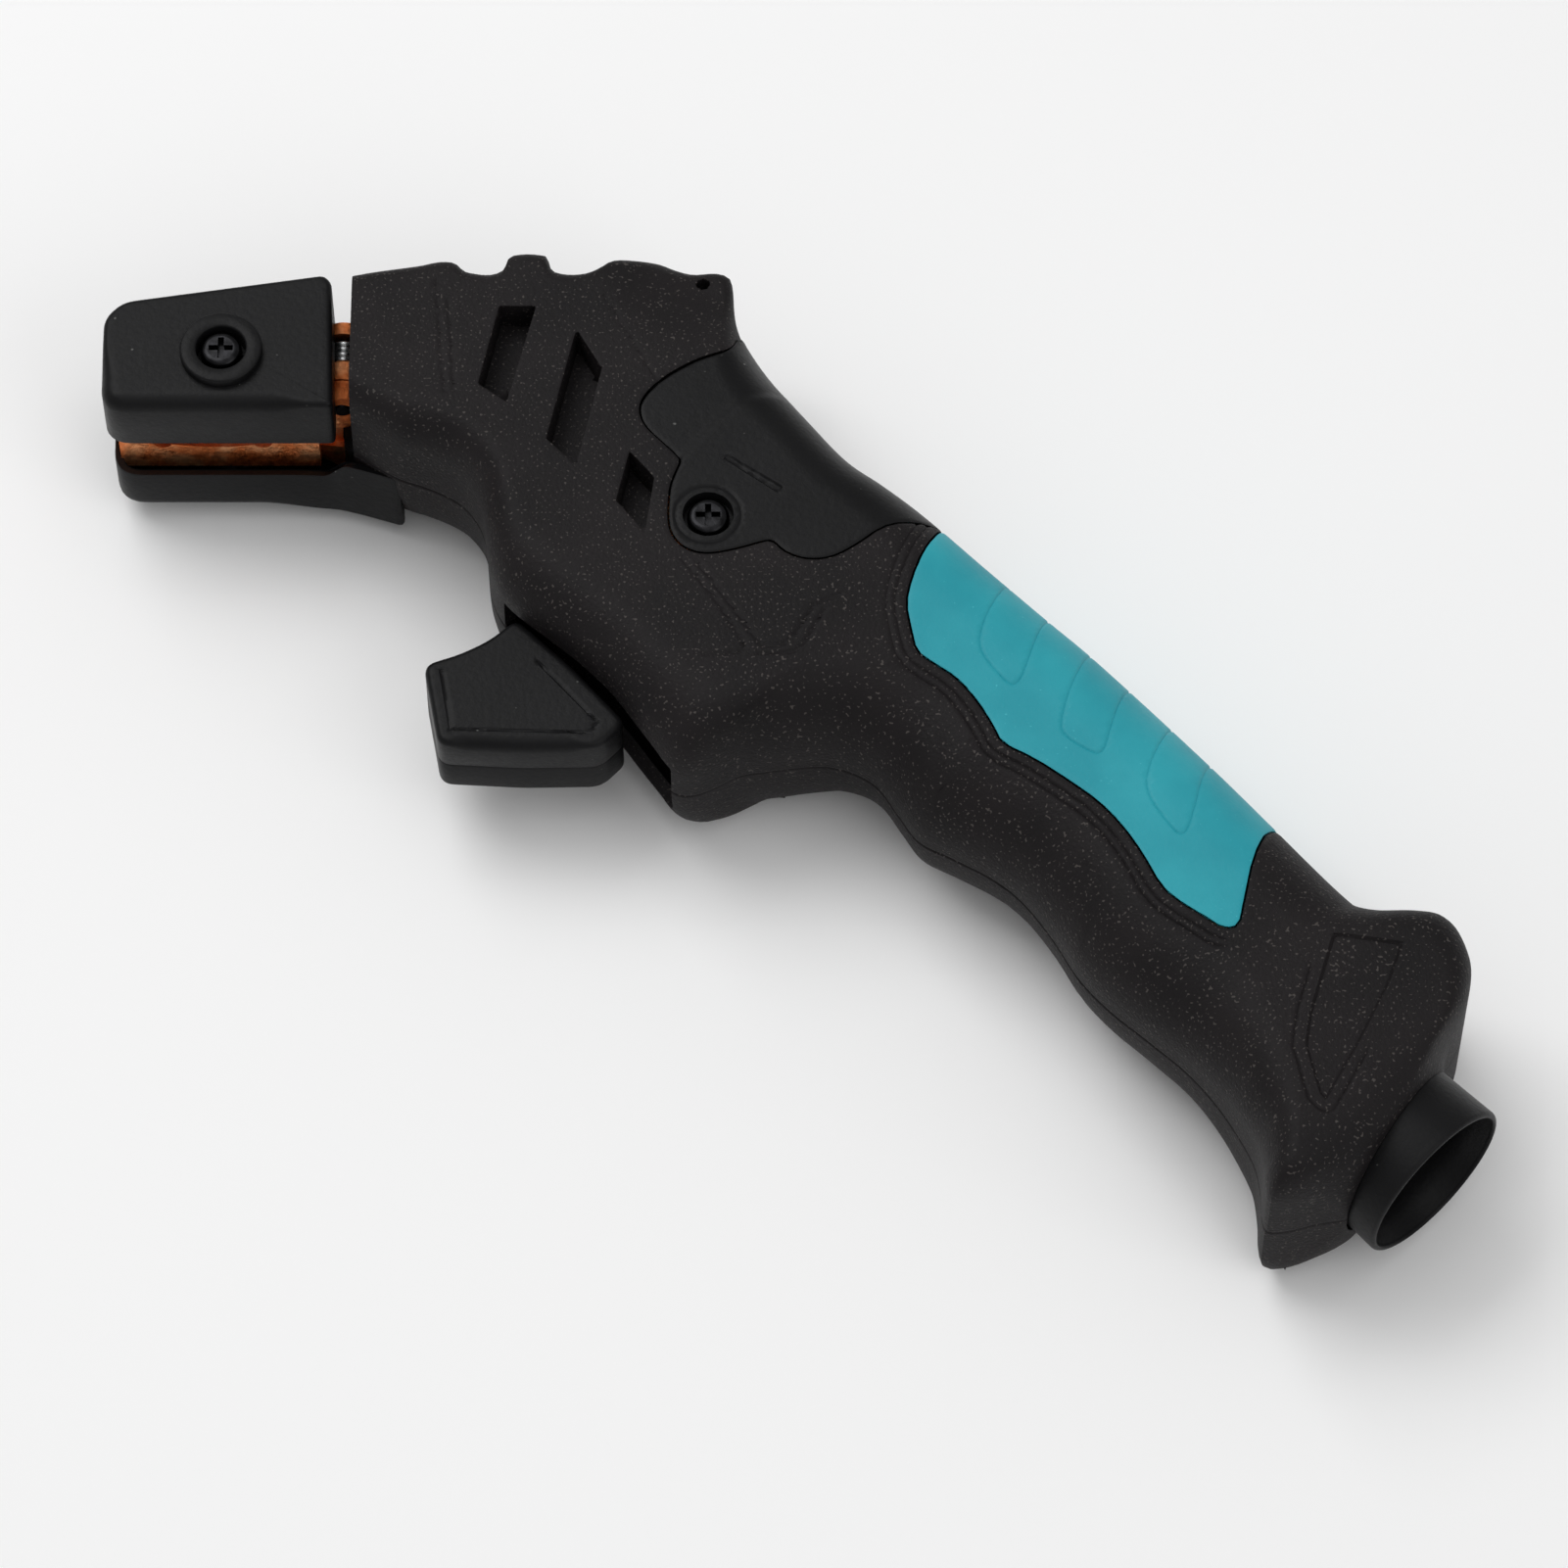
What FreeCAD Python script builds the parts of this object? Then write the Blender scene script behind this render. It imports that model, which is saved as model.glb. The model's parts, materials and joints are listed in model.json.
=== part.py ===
"""Pistol-type electrode holder: a welding hand tool with copper jaws, a trigger and a two-shell casing."""
import FreeCAD, Part
import Sketcher
import math
import os
from types import SimpleNamespace

Vec = FreeCAD.Vector

# ---------------------------------------------------------------- driving sizes, millimetres and degrees
SIZES = {
    # casing
    "half_depth": 17.0, "wall": 3.0, "head_corner": 4.0, "grip_corner": 11.0, "grip_depth": 15.8,
    "skin": 1.8, "skin_gap": 0.15, "seat_gap": 0.15, "handle_angle": 46.0, "handle_length": 112.0,
    "block_depth": 12.5, "tab_hole_radius": 1.1, "tab_boss_radius": 3.2,
    "vent_depth": 5.5, "vent_floor": 1.3, "slot_width": 14.0, "datum_radius": 2.8, "datum_depth": 1.0,
    # tail
    "sleeve_radius": 12.85, "sleeve_bore": 10.5, "sleeve_length": 28.0,
    # jaws
    "jaw_front": -63.5, "jaw_rear": -33.6, "jaw_low_y": 26.5, "jaw_high_y": 43.5,
    "jaw_split": 1.0, "jaw_gap": 0.4, "jaw_height": 6.0, "fixed_jaw_height": 8.0, "mouth_depth": 2.2,
    "groove_radius": 1.4, "cover_top": 14.5, "cover_skirt": 3.5, "cover_front": -65.2, "cover_rear": -30.8,
    "cover_low_y": 24.0, "cover_high_y": 47.1, "cover_edge": 3.0, "boss_radius": 6.1, "boss_height": 1.5,
    "boss_recess": 3.7, "recess_depth": 2.2, "lower_top": -3.5, "lower_base": -14.0,
    # jaw hinge
    "hinge_x": -30.0, "hinge_z": 4.0, "knuckle_radius": 3.2, "jaw_pin_radius": 1.5, "run_gap": 0.05,
    "side_gap": 0.3, "coil_radius": 2.35, "coil_wire": 0.45, "jaw_open": 11.0,
    # wedge drive
    "arm_length": 35.0, "arm_tip": 2.5, "arm_low": -1.0, "arm_height": 4.0, "pull_angle": 10.0,
    "cam_x": -12.0, "cam_z": 0.5, "cam_radius": 2.0, "cam_gap": 0.3, "wedge_top": 9.0,
    "wedge_shelf": 4.0, "wedge_width": 2.9, "wedge_mid_y": 35.15, "shelf_width": 9.8, "guide_wall": 0.75,
    # trigger
    "trigger_width": 13.0, "hub_radius": 4.6, "hub_low": -4.8, "hub_high": 5.0, "trigger_pin_radius": 2.0,
    "boss_wall": 2.2, "spring_ring": 3.1, "spring_wire": 0.45,
    # current path
    "rail_drop": 0.9, "rail_thick": 3.0, "bar_thick": 3.0, "bar_width": 8.0, "socket_radius": 8.0,
    "socket_bore": 5.0, "socket_length": 32.0, "socket_start": 30.0,
    # screws
    "screw_radius": 1.5, "screw_head": 3.1, "screw_head_height": 2.0, "screw_hole_gap": 0.1,
    "cover_head_seat": 2.1, "cover_plug": 4.4, "cover_plug_floor": 0.9,
}

doc = FreeCAD.newDocument("electrode_holder")
sheet = doc.addObject("Spreadsheet::Sheet", "sizes")
for row, (alias, number) in enumerate(SIZES.items(), start=1):
    sheet.set(f"A{row}", alias)
    sheet.set(f"B{row}", str(number))
    sheet.setAlias(f"B{row}", alias)
doc.recompute()
v = SimpleNamespace(**{alias: float(sheet.get(alias)) for alias in SIZES})

# ---------------------------------------------------------------- places worked out from the sizes
MID = v.half_depth                      # height of the parting plane over the flat side
TOP = 2 * v.half_depth                  # height of the other flat side
# sizes that are stated as heights over the parting plane become heights over the flat side
for alias in ("jaw_split", "cover_top", "cover_skirt", "lower_top", "lower_base", "hinge_z", "arm_low",
              "cam_z", "wedge_top", "wedge_shelf", "hub_low", "hub_high"):
    setattr(v, alias, MID + getattr(v, alias))
RAIL_BASE = MID - v.grip_depth + v.wall - v.rail_drop      # underside of the fixed jaw's rail
AXIS = Vec(math.cos(math.radians(v.handle_angle)), -math.sin(math.radians(v.handle_angle)), 0)
BACK = Vec(-AXIS.y, AXIS.x, 0)          # across the handle, towards its back
DRAWN_LENGTH = 112.0                    # handle length at which places along the handle are stated
STRETCH = v.handle_length / DRAWN_LENGTH
NECK = Vec(50.5, -16.1, 0)              # where the straight handle axis begins
MOUTH = NECK + AXIS * v.handle_length   # centre of the cable mouth, in plan
RUN_RATIO = v.arm_length * math.radians(1.0)


def handle(up, across, z=0.0):
    """Point of the handle: distance up from the cable mouth, across towards the back, and height."""
    flat = MOUTH - AXIS * up + BACK * across
    return Vec(flat.x, flat.y, z)


# One section of the casing: front point, back point, half depth, corner radius.
HEAD = [
    ((-28.3, 24.5), (-28.3, 46.4), v.half_depth, v.head_corner),
    ((-21.0, 19.5), (-20.0, 47.4), v.half_depth, v.head_corner),
    ((-12.5, 15.8), (-9.0, 47.4), v.half_depth, v.head_corner),
    ((-8.2, 9.0), (10.0, 47.6), v.half_depth, v.head_corner),
    ((-7.4, 0.0), (27.8, 48.0), v.half_depth, v.head_corner),
    ((-5.3, -5.0), (29.2, 40.0), v.half_depth, v.head_corner),
    ((-1.0, -9.6), (33.0, 34.4), v.half_depth, v.head_corner),
    ((7.0, -16.5), (41.2, 23.8), v.half_depth, v.head_corner + 1.0),
    ((15.0, -26.5), (51.0, 13.8), v.half_depth, v.head_corner + 2.0),
    ((21.5, -34.0), (59.0, 7.4), v.half_depth - 0.3, v.head_corner + 3.5),
    ((31.0, -30.4), (65.2, 2.2), v.half_depth - 0.8, v.grip_corner - 3.0),
]
# Straight handle: share of the handle length from the mouth, front and back offsets, half depth, corner.
GRIP = [
    (0.955, -14.1, 22.8, v.grip_depth, v.grip_corner - 1.0),
    (0.870, -12.8, 23.2, v.grip_depth, v.grip_corner),
    (0.770, -12.6, 23.3, v.grip_depth, v.grip_corner),
    (0.640, -10.8, 23.0, v.grip_depth, v.grip_corner),
    (0.520, -13.2, 22.5, v.grip_depth, v.grip_corner),
    (0.390, -13.4, 21.8, v.grip_depth + 0.4, v.grip_corner),
    (0.270, -13.7, 22.6, v.half_depth - 0.4, v.grip_corner - 2.0),
]
TAIL = [
    ((99.0, -88.5), (126.8, -60.0), v.half_depth, v.head_corner + 3.0),
    ((102.8, -97.5), (133.0, -66.0), v.half_depth, v.head_corner + 3.0),
    ((104.0, -104.6), (133.6, -74.0), v.half_depth, v.head_corner + 3.0),
    ((113.5, -103.6), (131.0, -81.5), v.half_depth - 1.6, v.head_corner + 3.0),
]
OLD_MOUTH = NECK + AXIS * DRAWN_LENGTH       # the tail sections are given about this mouth


def stations():
    """All casing sections, head to tail, as (front, back, half depth, corner)."""
    rows = [(Vec(*f, 0), Vec(*b, 0), d, c) for f, b, d, c in HEAD]
    for share, front, back, depth, corner in GRIP:
        up = share * v.handle_length
        rows.append((handle(up, front), handle(up, back), depth, corner))
    shift = MOUTH - OLD_MOUTH
    rows += [(Vec(*f, 0) + shift, Vec(*b, 0) + shift, d, c) for f, b, d, c in TAIL]
    return rows


REAR_COVER = [(29.6, 37.6), (28.2, 33.4), (23.6, 31.0), (18.0, 27.0), (14.8, 22.0), (15.8, 18.6), (20.9, 13.2),
              (19.4, 8.0), (19.2, 2.6), (21.6, -2.3), (25.0, -3.0), (33.6, -0.6), (38.8, -4.0), (43.4, -3.2),
              (50.4, 1.8), (55.4, 3.4), (61.0, 8.5), (45.0, 30.0)]
GRIP_INSERT = [(123.0, 24.0), (119.5, 16.0), (115.8, 8.8), (113.2, 5.4), (106.5, 0.8), (103.0, 1.4), (97.5, 2.2),
               (88.0, -0.6), (82.4, 1.0), (71.0, 2.8), (60.5, 0.8), (53.0, -1.0), (44.5, 0.4), (42.0, 3.0),
               (47.0, 8.5), (50.5, 14.0), (53.5, 24.0)]
VENTS = [
    [(-6.3, 39.8), (-0.8, 39.8), (-4.9, 23.0), (-9.2, 26.2)],
    [(5.2, 35.8), (9.1, 28.9), (5.5, 12.1), (1.0, 16.7)],
    [(13.3, 14.6), (17.0, 10.1), (15.7, 0.6), (11.4, 6.1)],
]
TOP_BLOCKS = [(-19.0, -12.5, 48.9), (-5.1, 1.1, 50.3), (9.2, 20.6, 49.9)]
TRIGGER_OUTLINE = [(-16.3, -16.2), (-3.3, -7.6), (4.8, -15.6), (13.1, -25.2), (9.2, -29.3), (-14.3, -28.8)]
TRIGGER_SLOT = [(-14.0, -9.0), (-5.0, -4.4), (-4.9, 3.5), (6.0, 3.5), (13.0, -8.0), (20.0, -19.5),
                (19.4, -32.0), (10.0, -40.0), (-14.0, -40.0)]
CASE_SCREWS = [Vec(18.0, 41.4, 0), Vec(37.0, -22.4, 0), handle(12.0, -v.sleeve_radius - 3.45),
               handle(19.0, v.sleeve_radius + 3.75)]
CASE_SCREW_SEATS = [v.wall, v.wall, v.wall + 0.4, v.wall + 0.4]
COVER_SCREW = Vec(24.9, 3.7, 0)
JAW_SCREW = Vec(-47.5, 33.2, 0)
TAB_HOLE = Vec(23.6, 45.0, 0)
RAIL_SCREWS = [Vec(-20.0, 31.0, 0), Vec(-20.0, 39.0, 0)]


# ---------------------------------------------------------------- helpers
def new_body(label):
    body = doc.addObject("PartDesign::Body", label)
    body.Label = label
    return body


def origin_plane(body, role):
    return next(f for f in body.Origin.OriginFeatures if f.Role == role)


def plane_sketch(body, name, placement):
    """Sketch on the body's own XY plane, moved and turned by an offset."""
    sketch = body.newObject("Sketcher::SketchObject", name)
    sketch.AttachmentSupport = (origin_plane(body, "XY_Plane"), [""])
    sketch.MapMode = "FlatFace"
    sketch.AttachmentOffset = placement
    return sketch


def level(z):
    return FreeCAD.Placement(Vec(0, 0, z), FreeCAD.Rotation())


def upright(origin, along):
    """Placement whose sketch x runs along a level direction and whose sketch y is +Z."""
    across = along.cross(Vec(0, 0, 1))
    turn = FreeCAD.Rotation(along, Vec(0, 0, 1), across, "ZXY")
    return FreeCAD.Placement(origin, turn)


def draw_polygon(sketch, points):
    """Closed run of straight lines, joined end to end."""
    count = len(points)
    corners = [Vec(p[0], p[1], 0) for p in points]
    for i in range(count):
        sketch.addGeometry(Part.LineSegment(corners[i], corners[(i + 1) % count]), False)


def draw_circle(sketch, centre, alias, factor=""):
    """Circle whose radius is bound to a sheet cell."""
    number = sketch.addGeometry(Part.Circle(Vec(centre[0], centre[1], 0), Vec(0, 0, 1), 1.0), False)
    index = sketch.addConstraint(Sketcher.Constraint("Radius", number, 1.0))
    sketch.addConstraint(Sketcher.Constraint("DistanceX", -1, 1, number, 3, centre[0]))
    sketch.addConstraint(Sketcher.Constraint("DistanceY", -1, 1, number, 3, centre[1]))
    sketch.setExpression(f"Constraints[{index}]", f"sizes.{alias}{factor}")
    return number


def extrude(body, kind, name, sketch, length, down=False, middle=False):
    """Pad or Pocket of a sketch; the length is a number or an expression."""
    feature = body.newObject(f"PartDesign::{kind}", name)
    feature.Profile = sketch
    if isinstance(length, str):
        feature.setExpression("Length", length)
    else:
        feature.Length = length
    feature.Reversed = down
    feature.Midplane = middle
    sketch.Visibility = False
    return feature


def pad(body, name, placement, points, length, down=False, middle=False):
    sketch = plane_sketch(body, name + "_outline", placement)
    draw_polygon(sketch, points)
    return extrude(body, "Pad", name, sketch, length, down, middle)


def pocket(body, name, placement, points, length, up=True, middle=False):
    """Cut a polygon; up means along the sketch's own normal."""
    sketch = plane_sketch(body, name + "_outline", placement)
    draw_polygon(sketch, points)
    return extrude(body, "Pocket", name, sketch, length, up, middle)


def round_pad(body, name, placement, centre, alias, length, down=False, factor=""):
    sketch = plane_sketch(body, name + "_outline", placement)
    draw_circle(sketch, centre, alias, factor)
    return extrude(body, "Pad", name, sketch, length, down)


def round_pocket(body, name, placement, centre, alias, length, up=True, factor=""):
    sketch = plane_sketch(body, name + "_outline", placement)
    draw_circle(sketch, centre, alias, factor)
    return extrude(body, "Pocket", name, sketch, length, up)


def box_points(x0, y0, x1, y1):
    return [(x0, y0), (x1, y0), (x1, y1), (x0, y1)]


def draw_section(sketch, width, depth, corner, side):
    """Half of a rounded box: base on the parting plane, depth up (side 1) or down (side -1)."""
    c = min(corner, depth - 0.5, width / 2 - 0.5)
    s = side
    q = c * (1 - math.sqrt(0.5))
    line = Part.LineSegment
    sketch.addGeometry(line(Vec(0, 0, 0), Vec(width, 0, 0)), False)
    sketch.addGeometry(line(Vec(width, 0, 0), Vec(width, s * (depth - c), 0)), False)
    sketch.addGeometry(Part.Arc(Vec(width, s * (depth - c), 0), Vec(width - q, s * (depth - q), 0),
                                Vec(width - c, s * depth, 0)), False)
    sketch.addGeometry(line(Vec(width - c, s * depth, 0), Vec(c, s * depth, 0)), False)
    sketch.addGeometry(Part.Arc(Vec(c, s * depth, 0), Vec(q, s * (depth - q), 0),
                                Vec(0, s * (depth - c), 0)), False)
    sketch.addGeometry(line(Vec(0, s * (depth - c), 0), Vec(0, 0, 0)), False)


def section_loft(body, kind, name, inset, side, rows):
    """Loft through the casing sections, drawn in by an inset; side 1 is upper, -1 is lower."""
    sketches = []
    for number, (front, back, depth, corner) in enumerate(rows):
        along = (back - front).normalize()
        width = (back - front).Length - 2 * inset
        place = upright(Vec(front.x, front.y, MID) + along * inset, along)
        sketch = plane_sketch(body, f"{name}_{number}", place)
        draw_section(sketch, width, depth - inset, max(corner - inset, 1.0), side)
        sketch.Visibility = False
        sketches.append(sketch)
    loft = body.newObject(f"PartDesign::{kind}Loft", name)
    loft.Profile = sketches[0]
    loft.Sections = sketches[1:]
    loft.Ruled = True
    return loft


def handle_points(rows):
    return [(handle(u * STRETCH, a).x, handle(u * STRETCH, a).y) for u, a in rows]


# ---------------------------------------------------------------- casing
def bore_across(body, name, origin, axis, alias, length, gap=0.0):
    """Round cut along any level axis, from its origin, radius alias + gap."""
    side = Vec(0, 0, 1).cross(axis)
    turn = FreeCAD.Rotation(side, Vec(0, 0, 1), axis, "ZXY")
    sketch = plane_sketch(body, name + "_outline", FreeCAD.Placement(origin, turn))
    draw_circle(sketch, (0, 0), alias, f" + {gap}")
    return extrude(body, "Pocket", name, sketch, length, True)


def shell(label, side):
    """One casing half; side 1 is the upper half, -1 the lower half that lies on the bench."""
    body = new_body(label)
    rows = stations()
    skin = v.skin + v.skin_gap
    section_loft(body, "Additive", "outside", 0.0, side, rows)
    for number, (x0, x1, y) in enumerate(TOP_BLOCKS):
        pad(body, f"top_block_{number}", level(MID), box_points(x0, 44.5, x1, y), "sizes.block_depth",
            side < 0)
    for name, points in (("cover_seat", REAR_COVER), ("grip_seat", handle_points(GRIP_INSERT))):
        pocket(body, name, level(MID), points, "2 * sizes.half_depth", side > 0)
    section_loft(body, "Additive", "under_skin", skin, side, rows)
    section_loft(body, "Subtractive", "inside", v.wall, side, rows[:-4])
    round_pad(body, "tab_boss", level(MID), (TAB_HOLE.x, TAB_HOLE.y), "tab_boss_radius",
              "sizes.half_depth", side < 0)
    deep = v.half_depth - v.wall
    # bosses grow from the flat wall towards the parting plane
    for number, place in enumerate(CASE_SCREWS[:2]):
        round_pad(body, f"screw_boss_{number}", level(MID), (place.x, place.y), "screw_head", deep + 1.0,
                  side < 0)
    boss_start = v.hub_high + 2.4 if side > 0 else v.hub_low - v.side_gap
    boss_end = TOP - v.wall + 1.0 if side > 0 else v.wall - 1.0
    round_pad(body, "pivot_boss", level(boss_start), (0, 0), "trigger_pin_radius",
              abs(boss_end - boss_start), side < 0, " + sizes.boss_wall")
    plug_end = v.cover_head_seat + v.cover_plug_floor
    inner_z = TOP - 1.9 if side > 0 else 1.9
    round_pad(body, "cover_boss", level(inner_z), (COVER_SCREW.x, COVER_SCREW.y), "cover_plug",
              7.5 if side > 0 else 4.1, side > 0, " + 1.6")
    plug_z = TOP - plug_end - 0.1 if side > 0 else plug_end + 0.1
    round_pocket(body, "plug_seat", level(plug_z), (COVER_SCREW.x, COVER_SCREW.y), "cover_plug", 6.0,
                 side > 0, " + sizes.skin_gap")
    ribs(body, side)
    bore_across(body, "sleeve_bore_cut", handle(-3.0, 0, MID), AXIS * -1, "sleeve_radius", 33.0, v.seat_gap)
    slot = v.slot_width / 2
    pocket(body, "trigger_slot", level(MID), TRIGGER_SLOT, slot, side > 0)
    if side > 0:
        upper_details(body)
    else:
        lower_details(body)
        datum_pad(body)
    round_pocket(body, "tab_hole", level(MID), (TAB_HOLE.x, TAB_HOLE.y), "tab_hole_radius", v.half_depth + 3.0,
                 side > 0)
    pin_end = MID - 4.0
    round_pocket(body, "pivot_hole", level(MID), (0, 0), "trigger_pin_radius", pin_end, side > 0,
                 " + sizes.run_gap")
    return body


def ribs(body, side):
    """Cross ribs that carry the cable socket, each with a round saddle."""
    deep = v.grip_depth - v.wall - 1.4
    for number, up in enumerate((v.socket_start + 5, v.socket_start + v.socket_length - 5)):
        corners = [handle(up - 1.2, -9.4), handle(up - 1.2, 13.0), handle(up + 1.2, 13.0),
                   handle(up + 1.2, -9.4)]
        pad(body, f"rib_{number}", level(MID), [(p.x, p.y) for p in corners], deep, side < 0)
    bore_across(body, "saddle", handle(v.socket_start - 2, 0, MID), AXIS * -1, "socket_radius",
                v.socket_length + 4, v.seat_gap)


def datum_pad(body):
    """Round datum flush with the lower flat side: a true plane for the rest face to be measured from."""
    round_pocket(body, "datum_seat", level(v.datum_depth), (0, 0), "datum_radius", 3.0, False)
    round_pad(body, "datum_face", level(v.datum_depth), (0, 0), "datum_radius", "sizes.datum_depth", True)


def upper_details(body):
    """Vents with floors, screw holes, and the seat of the wedge guide."""
    floor_z = TOP - v.vent_depth
    for number, points in enumerate(VENTS):
        centre = Vec(sum(p[0] for p in points) / 4, sum(p[1] for p in points) / 4, 0)
        wide = []
        for p in points:
            out = Vec(p[0], p[1], 0) - centre
            out = centre + out * (1 + 1.6 / out.Length)
            wide.append((out.x, out.y))
        pad(body, f"vent_box_{number}", level(floor_z - v.vent_floor), wide,
            v.vent_depth + v.vent_floor - 1.0)
        pocket(body, f"vent_{number}", level(floor_z), points, v.vent_depth + 1, True)
    for number, place in enumerate(CASE_SCREWS):
        round_pocket(body, f"screw_hole_{number}", level(MID), (place.x, place.y), "screw_radius", 11.5,
                     True, " + sizes.screw_hole_gap")
    round_pocket(body, "cover_hole", level(TOP - 12), (COVER_SCREW.x, COVER_SCREW.y), "screw_radius", 13.0,
                 True, " + sizes.screw_hole_gap")


def lower_details(body):
    """Screw holes with sunk heads, seat of the fixed jaw rail, notch for the lower jaw cover."""
    for number, place in enumerate(CASE_SCREWS):
        round_pocket(body, f"screw_hole_{number}", level(MID), (place.x, place.y), "screw_radius",
                     MID + 3.0, False, " + sizes.screw_hole_gap")
        round_pocket(body, f"screw_sink_{number}", level(CASE_SCREW_SEATS[number]), (place.x, place.y),
                     "screw_head", 6.0, False, " + 2 * sizes.screw_hole_gap")
    round_pocket(body, "cover_hole", level(12), (COVER_SCREW.x, COVER_SCREW.y), "screw_radius", 13.0, False,
                 " + sizes.screw_hole_gap")
    for number, place in enumerate(RAIL_SCREWS):
        round_pad(body, f"rail_boss_{number}", level(RAIL_BASE - 0.1), (place.x, place.y), "screw_head",
                  RAIL_BASE - 1.0, True)
        round_pocket(body, f"rail_hole_{number}", level(RAIL_BASE + 3), (place.x, place.y),
                     "screw_radius", 5.0, False, " + sizes.screw_hole_gap")
    notch = [(-31.0, 29.0), (-31.0, 12.0), (-20.8, 12.0), (-20.8, 21.5), (-24.5, 24.5), (-26.5, 29.0)]
    pocket(body, "cover_notch", level(MID + 1), notch, MID + 3.0, False)


def skin_piece(label, points, seat):
    """Outer skin of both halves inside an outline, bent round the back of the casing."""
    body = new_body(label)
    rows = stations()
    sketch_up = section_loft(body, "Additive", "upper_half", 0.0, 1, rows)
    section_loft(body, "Additive", "lower_half", 0.0, -1, rows)
    section_loft(body, "Subtractive", "upper_hollow", v.skin, 1, rows)
    section_loft(body, "Subtractive", "lower_hollow", v.skin, -1, rows)
    ring = plane_sketch(body, "trim_outline", level(-1.0))
    draw_polygon(ring, box_points(-90, -150, 190, 90))
    draw_polygon(ring, points)
    extrude(body, "Pocket", "trim", ring, TOP + 2, True)
    sketch_up.Visibility = False
    if seat:
        seat_z = v.cover_head_seat
        for name, z in (("upper_sink", TOP - seat_z), ("lower_sink", seat_z)):
            up = z > MID
            plug_z = TOP - 1.0 if up else 1.0
            round_pad(body, name + "_plug", level(plug_z), (COVER_SCREW.x, COVER_SCREW.y), "cover_plug",
                      seat_z + v.cover_plug_floor - 1.0, up)
            round_pocket(body, name, level(z), (COVER_SCREW.x, COVER_SCREW.y), "boss_recess", 3.0, up)
            round_pocket(body, name + "_hole", level(MID), (COVER_SCREW.x, COVER_SCREW.y), "screw_radius",
                         30.0, up, " + sizes.screw_hole_gap")
    return body


# ---------------------------------------------------------------- jaws
def xz_sketch_place(y):
    """Sketch x is +X, sketch y is +Z, and the sketch normal is -Y."""
    return upright(Vec(0, y, 0), Vec(1, 0, 0))


def slab(body, name, y0, y1, points, kind="Pad"):
    """Solid or cut between y0 and y1 (y1 above y0), its outline given in X and Z."""
    sketch = plane_sketch(body, name + "_outline", xz_sketch_place(y1))
    draw_polygon(sketch, points)
    return extrude(body, kind, name, sketch, abs(y1 - y0), kind == "Pocket")


def y_cylinder(body, name, y0, y1, x, z, alias, kind="Pad", gap=0.0):
    """Round solid or cut along Y."""
    sketch = plane_sketch(body, name + "_outline", xz_sketch_place(y1))
    draw_circle(sketch, (x, z), alias, f" + {gap}")
    return extrude(body, kind, name, sketch, abs(y1 - y0), kind == "Pocket")


EARS_FIXED = [(29.6, 32.8), (41.1, 43.1)]
EAR_MOVING = (33.1, 36.2)
COIL_SPAN = (36.6, 40.7)
CHEEKS = [(31.0, 33.4), (36.9, 39.3)]


def mouth_cut(body, face_z, deep, middle=(-60.5, -37.5)):
    """Long shallow hollow of a jaw face, and two round cross grooves for the rod."""
    x0, x1 = middle
    steps = 8
    arc = []
    for i in range(steps + 1):
        t = i / steps
        arc.append((x0 + (x1 - x0) * t, face_z + deep * 4 * t * (1 - t)))
    points = arc + [(x1, face_z - math.copysign(3.0, deep)), (x0, face_z - math.copysign(3.0, deep))]
    slab(body, "mouth", v.jaw_low_y - 1, v.jaw_high_y + 1, points, "Pocket")
    for number, x in enumerate((-57.0, -42.0)):
        y_cylinder(body, f"rod_groove_{number}", v.jaw_low_y - 1, v.jaw_high_y + 1, x, face_z + deep * 0.45,
                   "groove_radius", "Pocket")


def moving_jaw():
    body = new_body("moving_jaw")
    low = v.jaw_split + v.jaw_gap / 2
    high = low + v.jaw_height - v.jaw_gap
    slab(body, "blade", v.jaw_low_y, v.jaw_high_y,
         [(v.jaw_front + 1, low), (v.jaw_rear, low), (v.jaw_rear, high), (v.jaw_front, high),
          (v.jaw_front, low + 1)])
    x_bridge = v.hinge_x + v.knuckle_radius + v.side_gap
    slab(body, "ear_root", *EAR_MOVING, [(v.jaw_rear - 1, low), (v.hinge_x, low), (v.hinge_x, high),
                                         (v.jaw_rear - 1, high)])
    y_cylinder(body, "ear", *EAR_MOVING, v.hinge_x, v.hinge_z, "knuckle_radius")
    slab(body, "ear_tail", *EAR_MOVING, [(v.hinge_x, MID + 1.4), (x_bridge + 1, MID + 1.4),
                                         (x_bridge + 1, MID + 6.0), (v.hinge_x, MID + 6.0)])
    slab(body, "bridge", CHEEKS[0][0], CHEEKS[1][1],
         [(x_bridge, MID + 1.2), (-22.4, MID + 0.4), (-22.4, MID + 5.2), (x_bridge, MID + 6.2)])
    for number, span in enumerate(CHEEKS):
        slab(body, f"cheek_{number}", *span,
             [(-23.0, MID + 0.5), (-14.0, v.cam_z - 2.2), (-9.6, v.cam_z - 2.2), (-9.6, v.cam_z + 2.2),
              (-23.0, MID + 5.2)])
        y_cylinder(body, f"cam_hole_{number}", span[0] - 0.1, span[1] + 0.1, v.cam_x, v.cam_z, "cam_radius",
                   "Pocket", 0.02)
    mouth_cut(body, low, v.mouth_depth)
    y_cylinder(body, "hinge_bore", EAR_MOVING[0] - 1, EAR_MOVING[1] + 1, v.hinge_x, v.hinge_z,
               "jaw_pin_radius", "Pocket", v.run_gap)
    round_pocket(body, "thread", level(high - 4.2), (JAW_SCREW.x, JAW_SCREW.y), "screw_radius", 5.0, True,
                 " + sizes.screw_hole_gap")
    return body


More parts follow.
